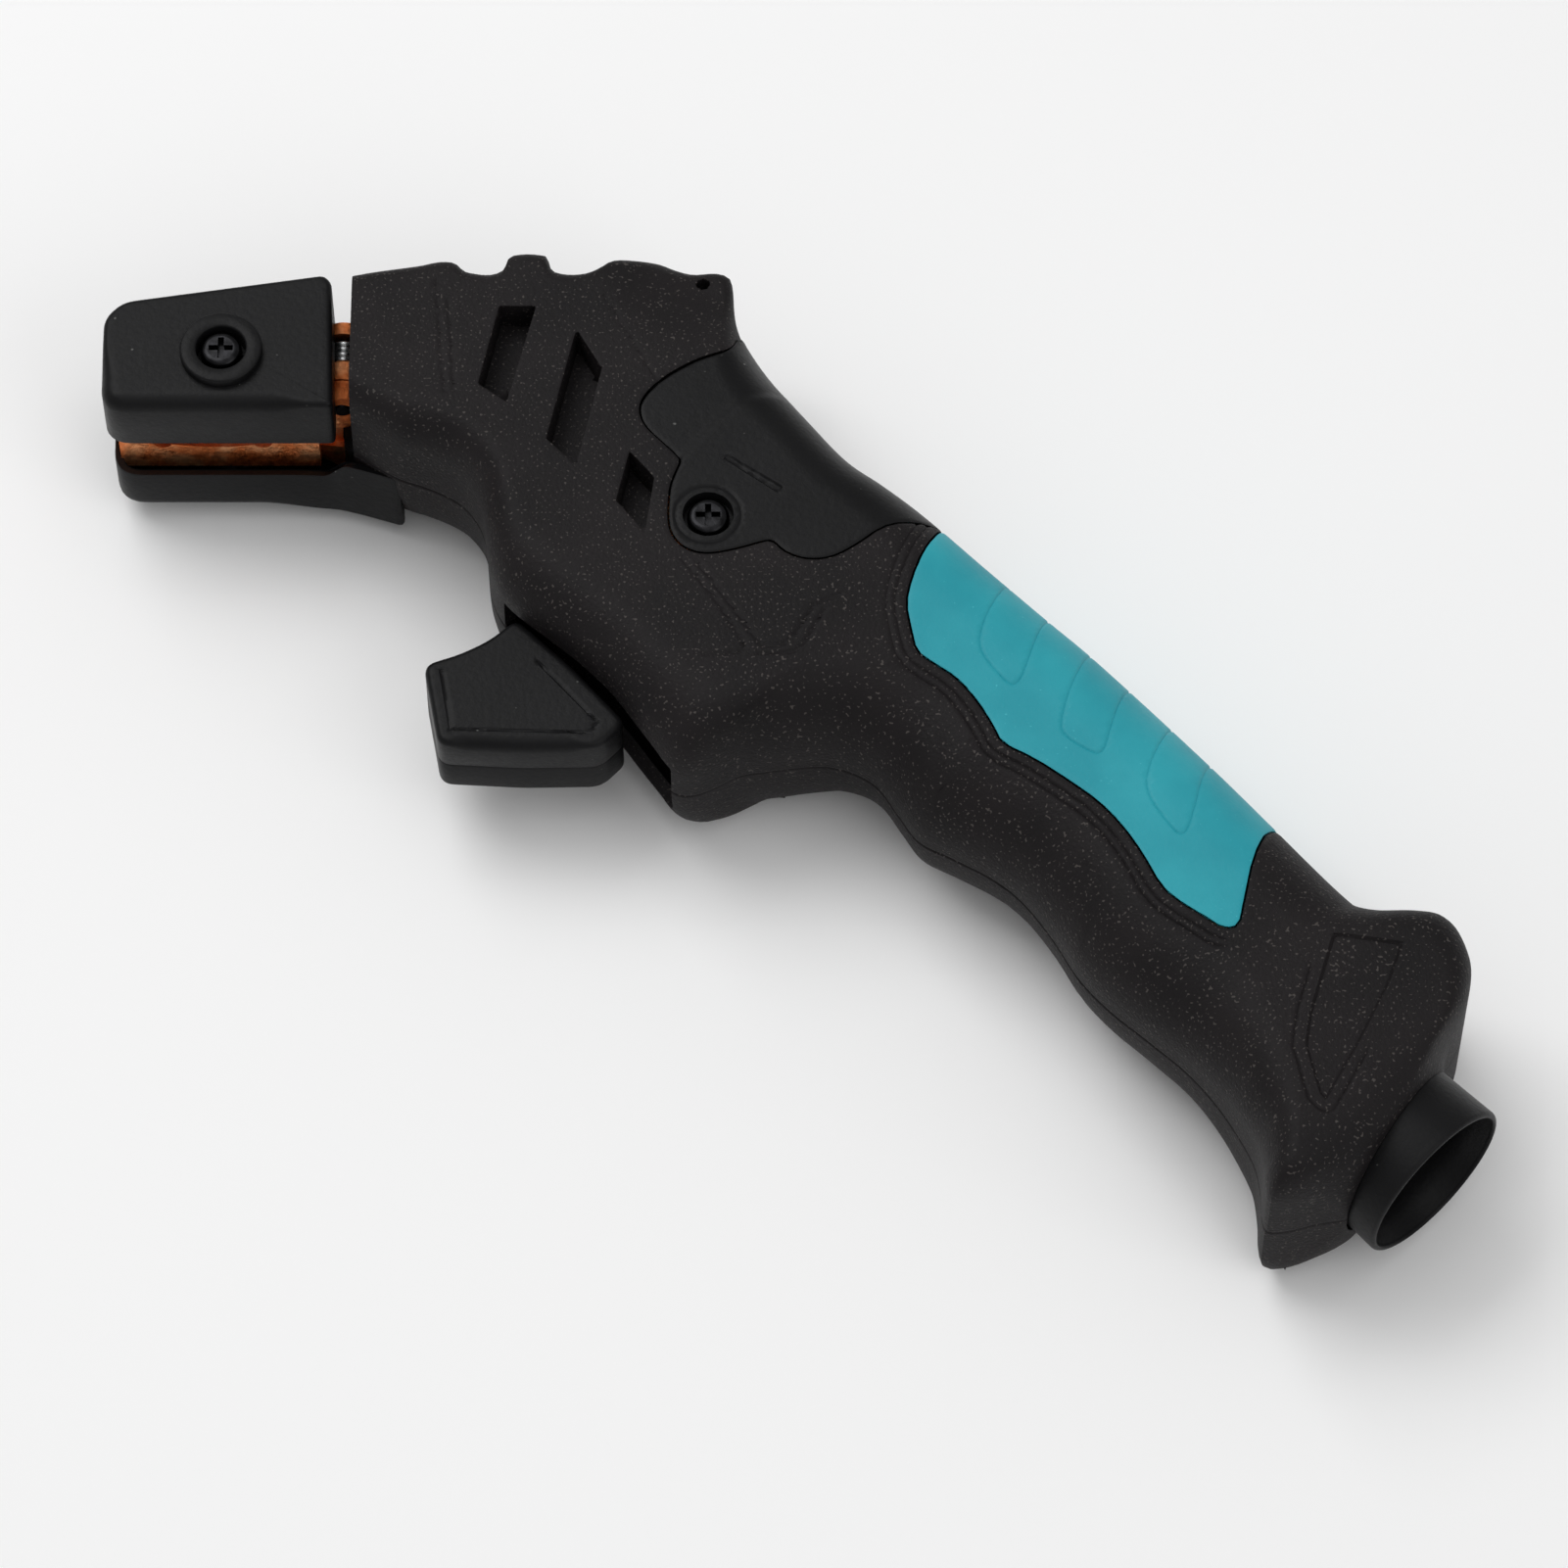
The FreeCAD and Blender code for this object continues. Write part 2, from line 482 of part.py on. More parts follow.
def fixed_jaw():
    body = new_body("fixed_jaw")
    high = v.jaw_split - v.jaw_gap / 2
    low = high - v.fixed_jaw_height + v.jaw_gap
    rail_top = RAIL_BASE + v.rail_thick
    slab(body, "blade", v.jaw_low_y, v.jaw_high_y,
         [(v.jaw_front + 1, high), (v.jaw_rear, high), (v.jaw_rear, low), (v.jaw_front, low),
          (v.jaw_front, high - 1)])
    x_back = v.hinge_x + v.knuckle_radius
    slab(body, "web", EARS_FIXED[0][0], EARS_FIXED[1][1],
         [(v.jaw_rear - 1, low), (x_back, RAIL_BASE + 5), (x_back, v.lower_top),
          (v.jaw_rear - 1, v.lower_top)])
    slab(body, "rail", 28.6, 41.4,
         [(v.jaw_rear - 1, low), (x_back - 0.5, RAIL_BASE), (-8.0, RAIL_BASE), (-8.0, rail_top),
          (x_back - 0.1, rail_top), (x_back - 2.0, v.lower_top - 1.5), (v.jaw_rear - 1, v.lower_top - 0.5)])
    for number, span in enumerate(EARS_FIXED):
        slab(body, f"ear_root_{number}", *span,
             [(v.hinge_x - v.knuckle_radius, v.lower_top - 1.5), (v.hinge_x + 2.0, v.lower_top - 1.5),
              (v.hinge_x + 2.0, v.hinge_z), (v.hinge_x - v.knuckle_radius, v.hinge_z)])
        y_cylinder(body, f"ear_{number}", *span, v.hinge_x, v.hinge_z, "knuckle_radius")
        y_cylinder(body, f"pin_hole_{number}", span[0] - 0.2, span[1] + 0.2, v.hinge_x, v.hinge_z,
                   "jaw_pin_radius", "Pocket", 0.02)
    mouth_cut(body, high, -v.mouth_depth)
    round_pocket(body, "thread", level(low + 4.0), (JAW_SCREW.x, JAW_SCREW.y), "screw_radius", 9.0, False,
                 " + sizes.screw_hole_gap")
    for number, place in enumerate(RAIL_SCREWS + [Vec(-12.0, 35.0, 0)]):
        round_pocket(body, f"rail_hole_{number}", level(rail_top + 1), (place.x, place.y), "screw_radius",
                     v.rail_thick + 3, False, " + sizes.screw_hole_gap")
    return body


def edges_where(body, test):
    """Names of the body's edges whose two end points satisfy a test."""
    doc.recompute()
    found = []
    for number, edge in enumerate(body.Shape.Edges, start=1):
        ends = [vertex.Point for vertex in edge.Vertexes]
        if len(ends) == 2 and test(ends[0], ends[1]):
            found.append(f"Edge{number}")
    return found


def round_edges(body, name, test, radius):
    names = edges_where(body, test)
    base = body.Tip
    fillet = body.newObject("PartDesign::Fillet", name)
    fillet.Base = (base, names)
    if isinstance(radius, str):
        fillet.setExpression("Radius", radius)
    else:
        fillet.Radius = radius
    body.Tip = fillet
    return fillet


def jaw_cover(label, side):
    """Plastic cover of one jaw; side 1 is the moving, upper one."""
    body = new_body(label)
    outer = v.cover_top if side > 0 else v.lower_base
    inner = v.cover_skirt if side > 0 else v.lower_top
    front = v.cover_front if side > 0 else v.cover_front + 0.7
    low_y = v.cover_low_y if side > 0 else v.cover_low_y - 0.8
    outline = [(front, low_y), (v.cover_rear, low_y), (v.cover_rear, v.cover_high_y),
               (v.cover_rear - 4, v.cover_high_y), (front + 3, v.cover_high_y - 4.7),
               (front, v.cover_high_y - 7.8)]
    pad(body, "block", level(inner), outline, abs(outer - inner), side < 0)
    round_edges(body, "rounded", lambda a, b: abs(a.z - outer) < 1e-6 and abs(b.z - outer) < 1e-6,
                "sizes.cover_edge")
    if side > 0:
        round_pad(body, "boss", level(outer - 1), (JAW_SCREW.x, JAW_SCREW.y), "boss_radius",
                  "sizes.boss_height + 1")
        recess_z = outer + v.boss_height - v.recess_depth
        seat = v.jaw_split - v.jaw_gap / 2 + v.jaw_height
    else:
        tongue = [(v.cover_rear - 3, low_y), (-21.1, 19.75), (-21.1, 21.3), (-24.8, 24.2), (-26.8, 29.0),
                  (v.cover_rear - 3, 29.0)]
        pad(body, "tongue", level(inner + 3.0), tongue, abs(outer - inner) + 3.0, True)
        recess_z = outer + v.recess_depth
        seat = v.jaw_split + v.jaw_gap / 2 - v.fixed_jaw_height
    round_pocket(body, "screw_sink", level(recess_z), (JAW_SCREW.x, JAW_SCREW.y), "boss_recess", 6.0,
                 side > 0)
    gap = v.seat_gap
    blade = box_points(v.jaw_front - gap, v.jaw_low_y - gap, v.cover_rear + 8, v.jaw_high_y + gap)
    pocket(body, "jaw_seat", level(inner - side * 4), blade, abs(seat + side * gap - inner) + 4, side > 0)
    rear = box_points(v.jaw_rear - gap, v.jaw_low_y + 2, v.cover_rear + 8, v.jaw_high_y + gap)
    rear_seat = v.hinge_z + v.knuckle_radius + 0.5 if side > 0 else RAIL_BASE
    if side > 0:
        pocket(body, "knuckle_room", level(inner - side * 4), rear, abs(rear_seat - inner) + 4, True)
    else:
        rear_room = box_points(v.jaw_rear - 2, 28.0, v.cover_rear + 8, v.jaw_high_y + gap)
        pocket(body, "knuckle_room", level(inner + 4), rear_room, inner + 4 - outer, False)
    round_pocket(body, "screw_hole", level(MID), (JAW_SCREW.x, JAW_SCREW.y), "screw_radius", 30.0, side > 0,
                 " + sizes.screw_hole_gap")
    return body


# ---------------------------------------------------------------- turned pieces
def pin(label, origin, direction, alias, length):
    """Plain pin with small chamfers."""
    body = new_body(label)
    turn = FreeCAD.Rotation(Vec(0, 0, 1), direction)
    sketch = plane_sketch(body, "round", FreeCAD.Placement(origin, turn))
    draw_circle(sketch, (0, 0), alias)
    extrude(body, "Pad", "shaft", sketch, length)
    doc.recompute()
    base = body.Tip
    round_ends = [f"Edge{i}" for i, e in enumerate(base.Shape.Edges, start=1)
                  if isinstance(e.Curve, Part.Circle)]
    chamfer = body.newObject("PartDesign::Chamfer", "ends")
    chamfer.Base = (base, round_ends)
    chamfer.Size = 0.3
    body.Tip = chamfer
    return body


def screw_solid(name, head_point, direction, length, shank="screw_radius"):
    """Pan screw from part primitives: its head lies on head_point and its shank runs along direction."""
    turn = FreeCAD.Rotation(Vec(0, 0, 1), direction)
    body = doc.addObject("Part::Cylinder", name + "_shank")
    body.setExpression("Radius", f"sizes.{shank}")
    body.Height = length
    body.Placement = FreeCAD.Placement(head_point, turn)
    head = doc.addObject("Part::Cylinder", name + "_head")
    head.setExpression("Radius", "sizes.screw_head")
    head.setExpression("Height", "sizes.screw_head_height")
    head.Placement = FreeCAD.Placement(head_point - direction * v.screw_head_height, turn)
    doc.recompute()
    dome = doc.addObject("Part::Fillet", name + "_dome")
    dome.Base = head
    rim = [i for i, e in enumerate(head.Shape.Edges, start=1) if len(e.Vertexes) == 1
           and abs((e.CenterOfMass - head_point).dot(direction) + v.screw_head_height) < 1e-6]
    dome.Edges = [(number, 1.1, 1.1) for number in rim]
    solid = doc.addObject("Part::MultiFuse", name + "_blank")
    solid.Shapes = [dome, body]
    cross = []
    side = direction.cross(Vec(1, 0, 0) if abs(direction.x) < 0.5 else Vec(0, 1, 0)).normalize()
    for number, along in enumerate((side, side.cross(direction))):
        slot = doc.addObject("Part::Box", f"{name}_slot_{number}")
        slot.Length, slot.Width, slot.Height = 3.6, 0.9, 1.6
        across = direction.cross(along)
        turn_slot = FreeCAD.Rotation(along, across, direction, "ZXY")
        corner = head_point - direction * (v.screw_head_height + 0.2) - along * 1.8 - across * 0.45
        slot.Placement = FreeCAD.Placement(corner, turn_slot)
        cross.append(slot)
    drive = doc.addObject("Part::MultiFuse", name + "_drive")
    drive.Shapes = cross
    cut = doc.addObject("Part::Cut", name)
    cut.Base = solid
    cut.Tool = drive
    return cut


def screw_group(label, places):
    """Identical screws as one node of separate solids; places hold head point, direction, length."""
    made = [screw_solid(f"{label}_{i}", *place) for i, place in enumerate(places)]
    if len(made) == 1:
        made[0].Label = label
        return made[0]
    group = doc.addObject("Part::Compound", label)
    group.Links = made
    group.Label = label
    return group


def coil(label, origin, axis, mean_alias, wire_alias, turns):
    """Close wound spring: one ring of wire for each turn."""
    rings = []
    pitch = 2 * getattr(v, wire_alias) + 0.02
    for number in range(turns):
        ring = doc.addObject("Part::Torus", f"{label}_{number}")
        ring.setExpression("Radius1", f"sizes.{mean_alias}")
        ring.setExpression("Radius2", f"sizes.{wire_alias}")
        place = origin + axis * (pitch * number + pitch / 2)
        ring.Placement = FreeCAD.Placement(place, FreeCAD.Rotation(Vec(0, 0, 1), axis))
        rings.append(ring)
    group = doc.addObject("Part::Compound", label)
    group.Links = rings
    group.Label = label
    return group


# ---------------------------------------------------------------- wedge drive and trigger
def wedge_slope():
    """Slope that keeps the cam gap the same at both ends of the jaw's travel."""
    turn = math.radians(v.jaw_open)
    dx, dz = v.cam_x - v.hinge_x, v.cam_z - v.hinge_z
    x1 = dx * math.cos(turn) + dz * math.sin(turn)
    z1 = dz * math.cos(turn) - dx * math.sin(turn)
    travel = RUN_RATIO * v.pull_angle
    return (dz - z1) / (x1 + travel - dx)


def push_wedge():
    body = new_body("push_wedge")
    slope = wedge_slope()
    tilt = math.atan(slope)
    face = v.cam_z + (v.cam_radius + v.cam_gap) / math.cos(tilt)
    rear = -v.arm_tip - v.cam_gap
    nose, toe = v.cam_x - 6.0, rear - 0.6

    def incline(x):
        return face - slope * (x - v.cam_x)

    half = v.wedge_width / 2
    slab(body, "cam_face", v.wedge_mid_y - half, v.wedge_mid_y + half,
         [(nose, v.wedge_top), (rear, v.wedge_top), (rear, incline(toe)), (toe, incline(toe)),
          (nose, incline(nose))])
    half = v.shelf_width / 2
    slab(body, "shelf", v.wedge_mid_y - half, v.wedge_mid_y + half,
         [(v.cam_x - 2, v.wedge_top), (rear, v.wedge_top), (rear, v.wedge_shelf),
          (v.cam_x - 2, v.wedge_shelf)])
    return body


def wedge_guide():
    """Channel over the wedge, held under the vents of the upper shell."""
    body = new_body("wedge_guide")
    half = v.shelf_width / 2 + 0.15
    low, high = v.wedge_mid_y - half - v.guide_wall, v.wedge_mid_y + half + v.guide_wall
    top = TOP - v.vent_depth - v.vent_floor
    x0, x1 = -21.0, -0.8
    slab(body, "channel", low, high,
         [(x0, v.wedge_shelf - 0.2), (x1, v.wedge_shelf - 0.2), (x1, top), (x0, top)])
    slab(body, "way", v.wedge_mid_y - half, v.wedge_mid_y + half,
         [(x0 - 1, v.wedge_shelf - 2), (x1 + 1, v.wedge_shelf - 2), (x1 + 1, v.wedge_top + 0.1),
          (x0 - 1, v.wedge_top + 0.1)], "Pocket")
    return body


def trigger():
    body = new_body("trigger")
    half = v.trigger_width / 2
    pad(body, "finger_block", level(MID - half), TRIGGER_OUTLINE, "sizes.trigger_width")
    round_edges(body, "softened", lambda a, b: abs(a.z - b.z) < 1e-6 and abs(a.z - MID) > half - 0.01
                and min(a.x * 0.7 + a.y, b.x * 0.7 + b.y) < -16.0, 1.6)
    height = v.hub_high - v.hub_low
    pad(body, "neck", level(v.hub_low), [(-4.4, -8.6), (-4.4, 0), (4.4, 0), (6.2, -17.0)], height)
    round_pad(body, "hub", level(v.hub_low), (0, 0), "hub_radius", height)
    pad(body, "arm", level(v.arm_low), box_points(-2.1, 0, 2.1, v.arm_length), "sizes.arm_height")
    round_pad(body, "arm_tip", level(v.arm_low), (0, v.arm_length), "arm_tip", "sizes.arm_height")
    round_pocket(body, "pivot_bore", level(v.hub_low - 1), (0, 0), "trigger_pin_radius", height + 2, True,
                 " + sizes.run_gap")
    return body


# ---------------------------------------------------------------- current path and cable end
def conductor_bar():
    """Flat copper bar from the fixed jaw's rail down the handle to the cable socket."""
    body = new_body("conductor_bar")
    base = RAIL_BASE + v.rail_thick
    end = handle(v.socket_start + v.socket_length + 3.0, 0)
    knee = Vec(-1.0, 33.0, 0)
    start = Vec(-16.6, 35.0, 0)
    run = (end - knee).normalize()
    side = Vec(-run.y, run.x, 0) * (v.bar_width / 2)
    half = v.bar_width / 2
    points = [(start.x, start.y - half), (knee.x - 3.5, start.y - half), (end.x - side.x, end.y - side.y),
              (end.x + side.x, end.y + side.y), (knee.x + 3.0, start.y + half), (start.x, start.y + half)]
    pad(body, "strap", level(base), points, "sizes.bar_thick")
    round_pocket(body, "rail_hole", level(base - 1), (-12.0, 35.0), "screw_radius", 6.0, True,
                 " + sizes.screw_hole_gap")
    foot = [handle(v.socket_start + v.socket_length + 0.3, a) for a in (-5.0, 5.0)]
    head = [handle(v.socket_start + v.socket_length + 7.0, a) for a in (5.0, -5.0)]
    pad(body, "riser", level(base + v.bar_thick - 0.5), [(p.x, p.y) for p in foot + head],
        MID - v.socket_radius + 5.0 - base - v.bar_thick)
    return body


def tube_along(body, name, up, length, outer, gap=0.0):
    """Round pad along the handle axis, from a distance up from the mouth, towards the head."""
    axis = AXIS * -1
    side = Vec(0, 0, 1).cross(axis)
    turn = FreeCAD.Rotation(side, Vec(0, 0, 1), axis, "ZXY")
    sketch = plane_sketch(body, name + "_outline", FreeCAD.Placement(handle(up, 0, MID), turn))
    draw_circle(sketch, (0, 0), outer, f" + {gap}")
    return extrude(body, "Pad", name, sketch, length)


def cable_socket():
    body = new_body("cable_socket")
    tube_along(body, "barrel", v.socket_start, v.socket_length, "socket_radius")
    bore_across(body, "cable_bore", handle(v.socket_start - 1, 0, MID), AXIS * -1, "socket_bore",
                v.socket_length - 6.0)
    for number, up in enumerate((v.socket_start + 11, v.socket_start + 20)):
        place = handle(up, 0)
        round_pocket(body, f"set_hole_{number}", level(MID), (place.x, place.y), "screw_radius", 12.0, True,
                     " + 0.6")
    return body


def cable_sleeve():
    body = new_body("cable_sleeve")
    tube_along(body, "tube", 0.0, v.sleeve_length, "sleeve_radius")
    bore_across(body, "cable_way", handle(-1, 0, MID), AXIS * -1, "sleeve_bore", v.sleeve_length + 3)
    return body


def set_screws():
    """Two grub screws that clamp the cable in its socket."""
    solids = []
    for number, up in enumerate((v.socket_start + 11, v.socket_start + 20)):
        grub = doc.addObject("Part::Cylinder", f"grub_{number}")
        grub.setExpression("Radius", "sizes.screw_radius + 0.5")
        grub.Height = 6.0
        grub.Placement = FreeCAD.Placement(handle(up, 0, MID + v.socket_bore + 0.1), FreeCAD.Rotation())
        solids.append(grub)
    group = doc.addObject("Part::Compound", "socket_screws")
    group.Links = solids
    group.Label = "socket_screws"
    return group


# ---------------------------------------------------------------- build
down, up_dir = Vec(0, 0, -1), Vec(0, 0, 1)
cover_seat_z = v.cover_top + v.boss_height - v.recess_depth
NODES = [
    shell("left_shell", 1),
    shell("right_shell", -1),
    skin_piece("rear_cover", REAR_COVER, True),
    skin_piece("grip_insert", handle_points(GRIP_INSERT), False),
    jaw_cover("moving_jaw_cover", 1),
    jaw_cover("fixed_jaw_cover", -1),
    moving_jaw(),
    fixed_jaw(),
    pin("jaw_pin", Vec(v.hinge_x, EARS_FIXED[0][0] - 0.2, v.hinge_z), Vec(0, 1, 0), "jaw_pin_radius",
        EARS_FIXED[1][1] - EARS_FIXED[0][0] + 0.4),
    pin("cam_pin", Vec(v.cam_x, CHEEKS[0][0] - 0.2, v.cam_z), Vec(0, 1, 0), "cam_radius",
        CHEEKS[1][1] - CHEEKS[0][0] + 0.4),
    coil("jaw_spring", Vec(v.hinge_x, COIL_SPAN[0], v.hinge_z), Vec(0, 1, 0), "coil_radius", "coil_wire",
         4),
    push_wedge(),
    wedge_guide(),
    trigger(),
    pin("trigger_pin", Vec(0, 0, 4.4), up_dir, "trigger_pin_radius", TOP - 8.8),
    coil("trigger_spring", Vec(0, 0, v.hub_high + 0.3), up_dir, "spring_ring", "spring_wire", 2),
    conductor_bar(),
    cable_socket(),
    set_screws(),
    cable_sleeve(),
    screw_group("moving_cover_screw", [(Vec(JAW_SCREW.x, JAW_SCREW.y, cover_seat_z), down, 10.0)]),
    screw_group("fixed_cover_screw",
                [(Vec(JAW_SCREW.x, JAW_SCREW.y, v.lower_base + v.recess_depth), up_dir, 8.0)]),
    screw_group("rear_cover_screws",
                [(Vec(COVER_SCREW.x, COVER_SCREW.y, TOP - v.cover_head_seat), down, 7.0),
                 (Vec(COVER_SCREW.x, COVER_SCREW.y, v.cover_head_seat), up_dir, 3.8)]),
    screw_group("casing_screws", [(Vec(p.x, p.y, z), up_dir, v.half_depth + 5.0)
                                   for p, z in zip(CASE_SCREWS, CASE_SCREW_SEATS)]),
    screw_group("rail_screws",
                [(Vec(p.x, p.y, RAIL_BASE + v.rail_thick), down, 4.0) for p in RAIL_SCREWS]),
    screw_group("bar_screw", [(Vec(-12.0, 35.0, RAIL_BASE + v.rail_thick + v.bar_thick), down, 5.0)]),
]
doc.recompute()

faults = [f"{o.Name}: {o.State}" for o in doc.Objects if {"Invalid", "Error"} & set(o.State)]
for node in NODES:
    if node.Shape.isNull() or not node.Shape.isValid() or not node.Shape.Solids:
        faults.append(f"{node.Label}: bad shape")
if faults:
    raise RuntimeError("; ".join(faults))

os.makedirs("parts", exist_ok=True)
for node in NODES:
    node.Shape.exportStep(f"parts/{node.Label}.step")
    box = node.Shape.BoundBox
    print(f"{node.Label:20s} solids {len(node.Shape.Solids)} volume {node.Shape.Volume:9.0f} "
          f"x {box.XMin:7.1f} {box.XMax:7.1f} y {box.YMin:7.1f} {box.YMax:7.1f} "
          f"z {box.ZMin:6.1f} {box.ZMax:6.1f}")
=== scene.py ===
import json
import math

import bpy
import numpy as np
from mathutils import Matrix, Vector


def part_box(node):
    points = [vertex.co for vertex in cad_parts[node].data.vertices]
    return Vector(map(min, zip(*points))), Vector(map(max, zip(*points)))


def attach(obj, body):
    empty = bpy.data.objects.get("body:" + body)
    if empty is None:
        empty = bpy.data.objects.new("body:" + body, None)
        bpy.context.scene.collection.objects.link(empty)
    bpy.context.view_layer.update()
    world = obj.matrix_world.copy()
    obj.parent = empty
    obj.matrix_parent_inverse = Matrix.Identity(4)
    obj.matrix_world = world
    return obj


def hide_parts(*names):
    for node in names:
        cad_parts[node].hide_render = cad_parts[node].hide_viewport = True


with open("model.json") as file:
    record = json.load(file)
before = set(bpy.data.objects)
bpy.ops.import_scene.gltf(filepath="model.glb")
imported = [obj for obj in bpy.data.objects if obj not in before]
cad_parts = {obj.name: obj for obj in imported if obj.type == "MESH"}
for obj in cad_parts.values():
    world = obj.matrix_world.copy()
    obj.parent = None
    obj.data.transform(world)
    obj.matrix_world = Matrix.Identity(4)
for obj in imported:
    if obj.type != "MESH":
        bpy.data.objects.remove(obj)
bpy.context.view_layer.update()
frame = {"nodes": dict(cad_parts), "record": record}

mid = (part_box("left_shell")[0][2]) * 1000.0      # height of the parting plane, mm
print("frame loaded, parting plane at", round(mid, 2), "mm")


# Smooth line through knots (s, values...): on each span a cubic that takes the slope of its two
# neighbours.
def smoothCurve(knots, s):
    k = np.array(knots, float)
    t, v = k[:, 0], k[:, 1:]
    slope = np.diff(v, axis=0) / np.diff(t)[:, None]
    m = np.vstack([slope[:1], 0.5 * (slope[1:] + slope[:-1]), slope[-1:]])
    i = np.clip(np.searchsorted(t, s, side="right") - 1, 0, len(t) - 2)
    h = (t[i + 1] - t[i])[..., None]
    x = ((s - t[i]) / (t[i + 1] - t[i]))[..., None]
    a, b = v[i], v[i + 1]
    return ((2 * x**3 - 3 * x**2 + 1) * a + (x**3 - 2 * x**2 + x) * h * m[i]
            + (3 * x**2 - 2 * x**3) * b + (x**3 - x**2) * h * m[i + 1])


# 0 below low, 1 above high, and a smooth S between them.
def ramp(x, low, high):
    t = np.clip((x - low) / (high - low), 0, 1)
    return t * t * (3 - 2 * t)


# Distance in plan from (x, y) to a run of straight lines; negative inside when the run is closed.
def polygonDistance(points, x, y, closed=True):
    p = np.array(points, float)
    q = np.roll(p, -1, axis=0)
    if not closed:
        p, q = p[:-1], q[:-1]
    best = np.full(x.shape, 1e9)
    inside = np.zeros(x.shape, bool)
    for (ax, ay), (bx, by) in zip(p, q):
        dx, dy = bx - ax, by - ay
        t = np.clip(((x - ax) * dx + (y - ay) * dy) / (dx * dx + dy * dy + 1e-12), 0, 1)
        best = np.minimum(best, np.hypot(x - ax - t * dx, y - ay - t * dy))
        if closed:
            crosses = (ay > y) != (by > y)
            side = x < (bx - ax) * (y - ay) / (by - ay + 1e-12) + ax
            inside ^= crosses & side
    return np.where(inside, -best, best) if closed else best


# Corner cutting: each corner of a closed run becomes a short smooth curve.
def roundedLoop(points, steps=6):
    p = np.array(points, float)
    for _ in range(steps // 2):
        q = np.roll(p, -1, axis=0)
        p = np.stack([0.75 * p + 0.25 * q, 0.25 * p + 0.75 * q], axis=1).reshape(-1, 2)
    return p


# Index table of a rows x cols grid, each cell cut into two triangles.
def gridTriangles(rows, cols, wrapCols=False):
    r = np.arange(rows - 1)
    c = np.arange(cols if wrapCols else cols - 1)
    r, c = np.meshgrid(r, c, indexing="ij")
    c2 = (c + 1) % cols
    a, b, d, e = r * cols + c, (r + 1) * cols + c, (r + 1) * cols + c2, r * cols + c2
    return np.concatenate([np.stack([a, b, d], -1).reshape(-1, 3), np.stack([a, d, e], -1).reshape(-1, 3)])


# Cuts triangles along the line where value is nought, so that edges follow it; each crossed edge gets a
# point by straight interpolation. keep=-1 leaves only the side below nought, keep=1 only the side above.
def scoreMesh(points, faces, value, keep=0):
    value = np.where(np.abs(value) < 0.04, 0.0, value)
    sign = np.sign(value)
    s = sign[faces]
    cross = s * np.roll(s, -1, axis=1) < 0                     # edge i runs from corner i to corner i + 1
    number = cross.sum(axis=1)
    plain = faces[number == 0]
    one, two = faces[number == 1], faces[number == 2]
    turn = np.argmax(cross[number == 1], axis=1)               # bring the crossed edge to corners 1 and 2
    one = one[np.arange(len(one))[:, None], (np.arange(3) + turn[:, None] + 2) % 3]
    lone = np.argmin(cross[number == 2], axis=1)               # the uncrossed edge faces the lone corner
    two = two[np.arange(len(two))[:, None], (np.arange(3) + lone[:, None] + 2) % 3]
    pairs = np.concatenate([one[:, [1, 2]], two[:, [0, 1]], two[:, [0, 2]]])
    ordered = np.sort(pairs, axis=1)
    edges, back = np.unique(ordered, axis=0, return_inverse=True)
    back = back.reshape(-1) + len(points)
    t = value[edges[:, 0]] / (value[edges[:, 0]] - value[edges[:, 1]])
    fresh = points[edges[:, 0]] * (1 - t[:, None]) + points[edges[:, 1]] * t[:, None]
    m = back[:len(one)]
    ab, ac = back[len(one):len(one) + len(two)], back[len(one) + len(two):]
    a, b, c = one.T
    d, e, f = two.T
    faces = np.concatenate([plain, np.stack([a, b, m], 1), np.stack([a, m, c], 1), np.stack([d, ab, ac], 1),
                            np.stack([ab, e, f], 1), np.stack([ab, f, ac], 1)])
    points = np.concatenate([points, fresh])
    if keep:
        sign = np.concatenate([sign, np.zeros(len(fresh))])
        faces = faces[sign[faces].sum(axis=1) * keep > 0]
    return points, faces


# Unit normal of each point: the sum of the area normals of the triangles round it.
def pointNormals(points, faces):
    p = points[:, :3]
    area = np.cross(p[faces[:, 1]] - p[faces[:, 0]], p[faces[:, 2]] - p[faces[:, 0]])
    n = np.stack([np.bincount(faces.ravel(), np.repeat(area[:, i], 3), len(points)) for i in range(3)],
                 axis=1)
    return n / (np.linalg.norm(n, axis=1, keepdims=True) + 1e-12)


# Closed sheet: the given face, the same face moved in along its normals and turned over, and a rim
# between their open edges.
def thicken(points, faces, wall):
    inner = points[:, :3] - pointNormals(points, faces) * wall
    edges = np.concatenate([faces[:, [0, 1]], faces[:, [1, 2]], faces[:, [2, 0]]])
    key = np.sort(edges, axis=1)
    _, first, number = np.unique(key, axis=0, return_index=True, return_counts=True)
    a, b = edges[first[number == 1]].T
    n = len(points)
    rim = np.concatenate([np.stack([b, a, a + n], 1), np.stack([b, a + n, b + n], 1)])
    return np.concatenate([points[:, :3], inner]), np.concatenate([faces, faces[:, ::-1] + n, rim])


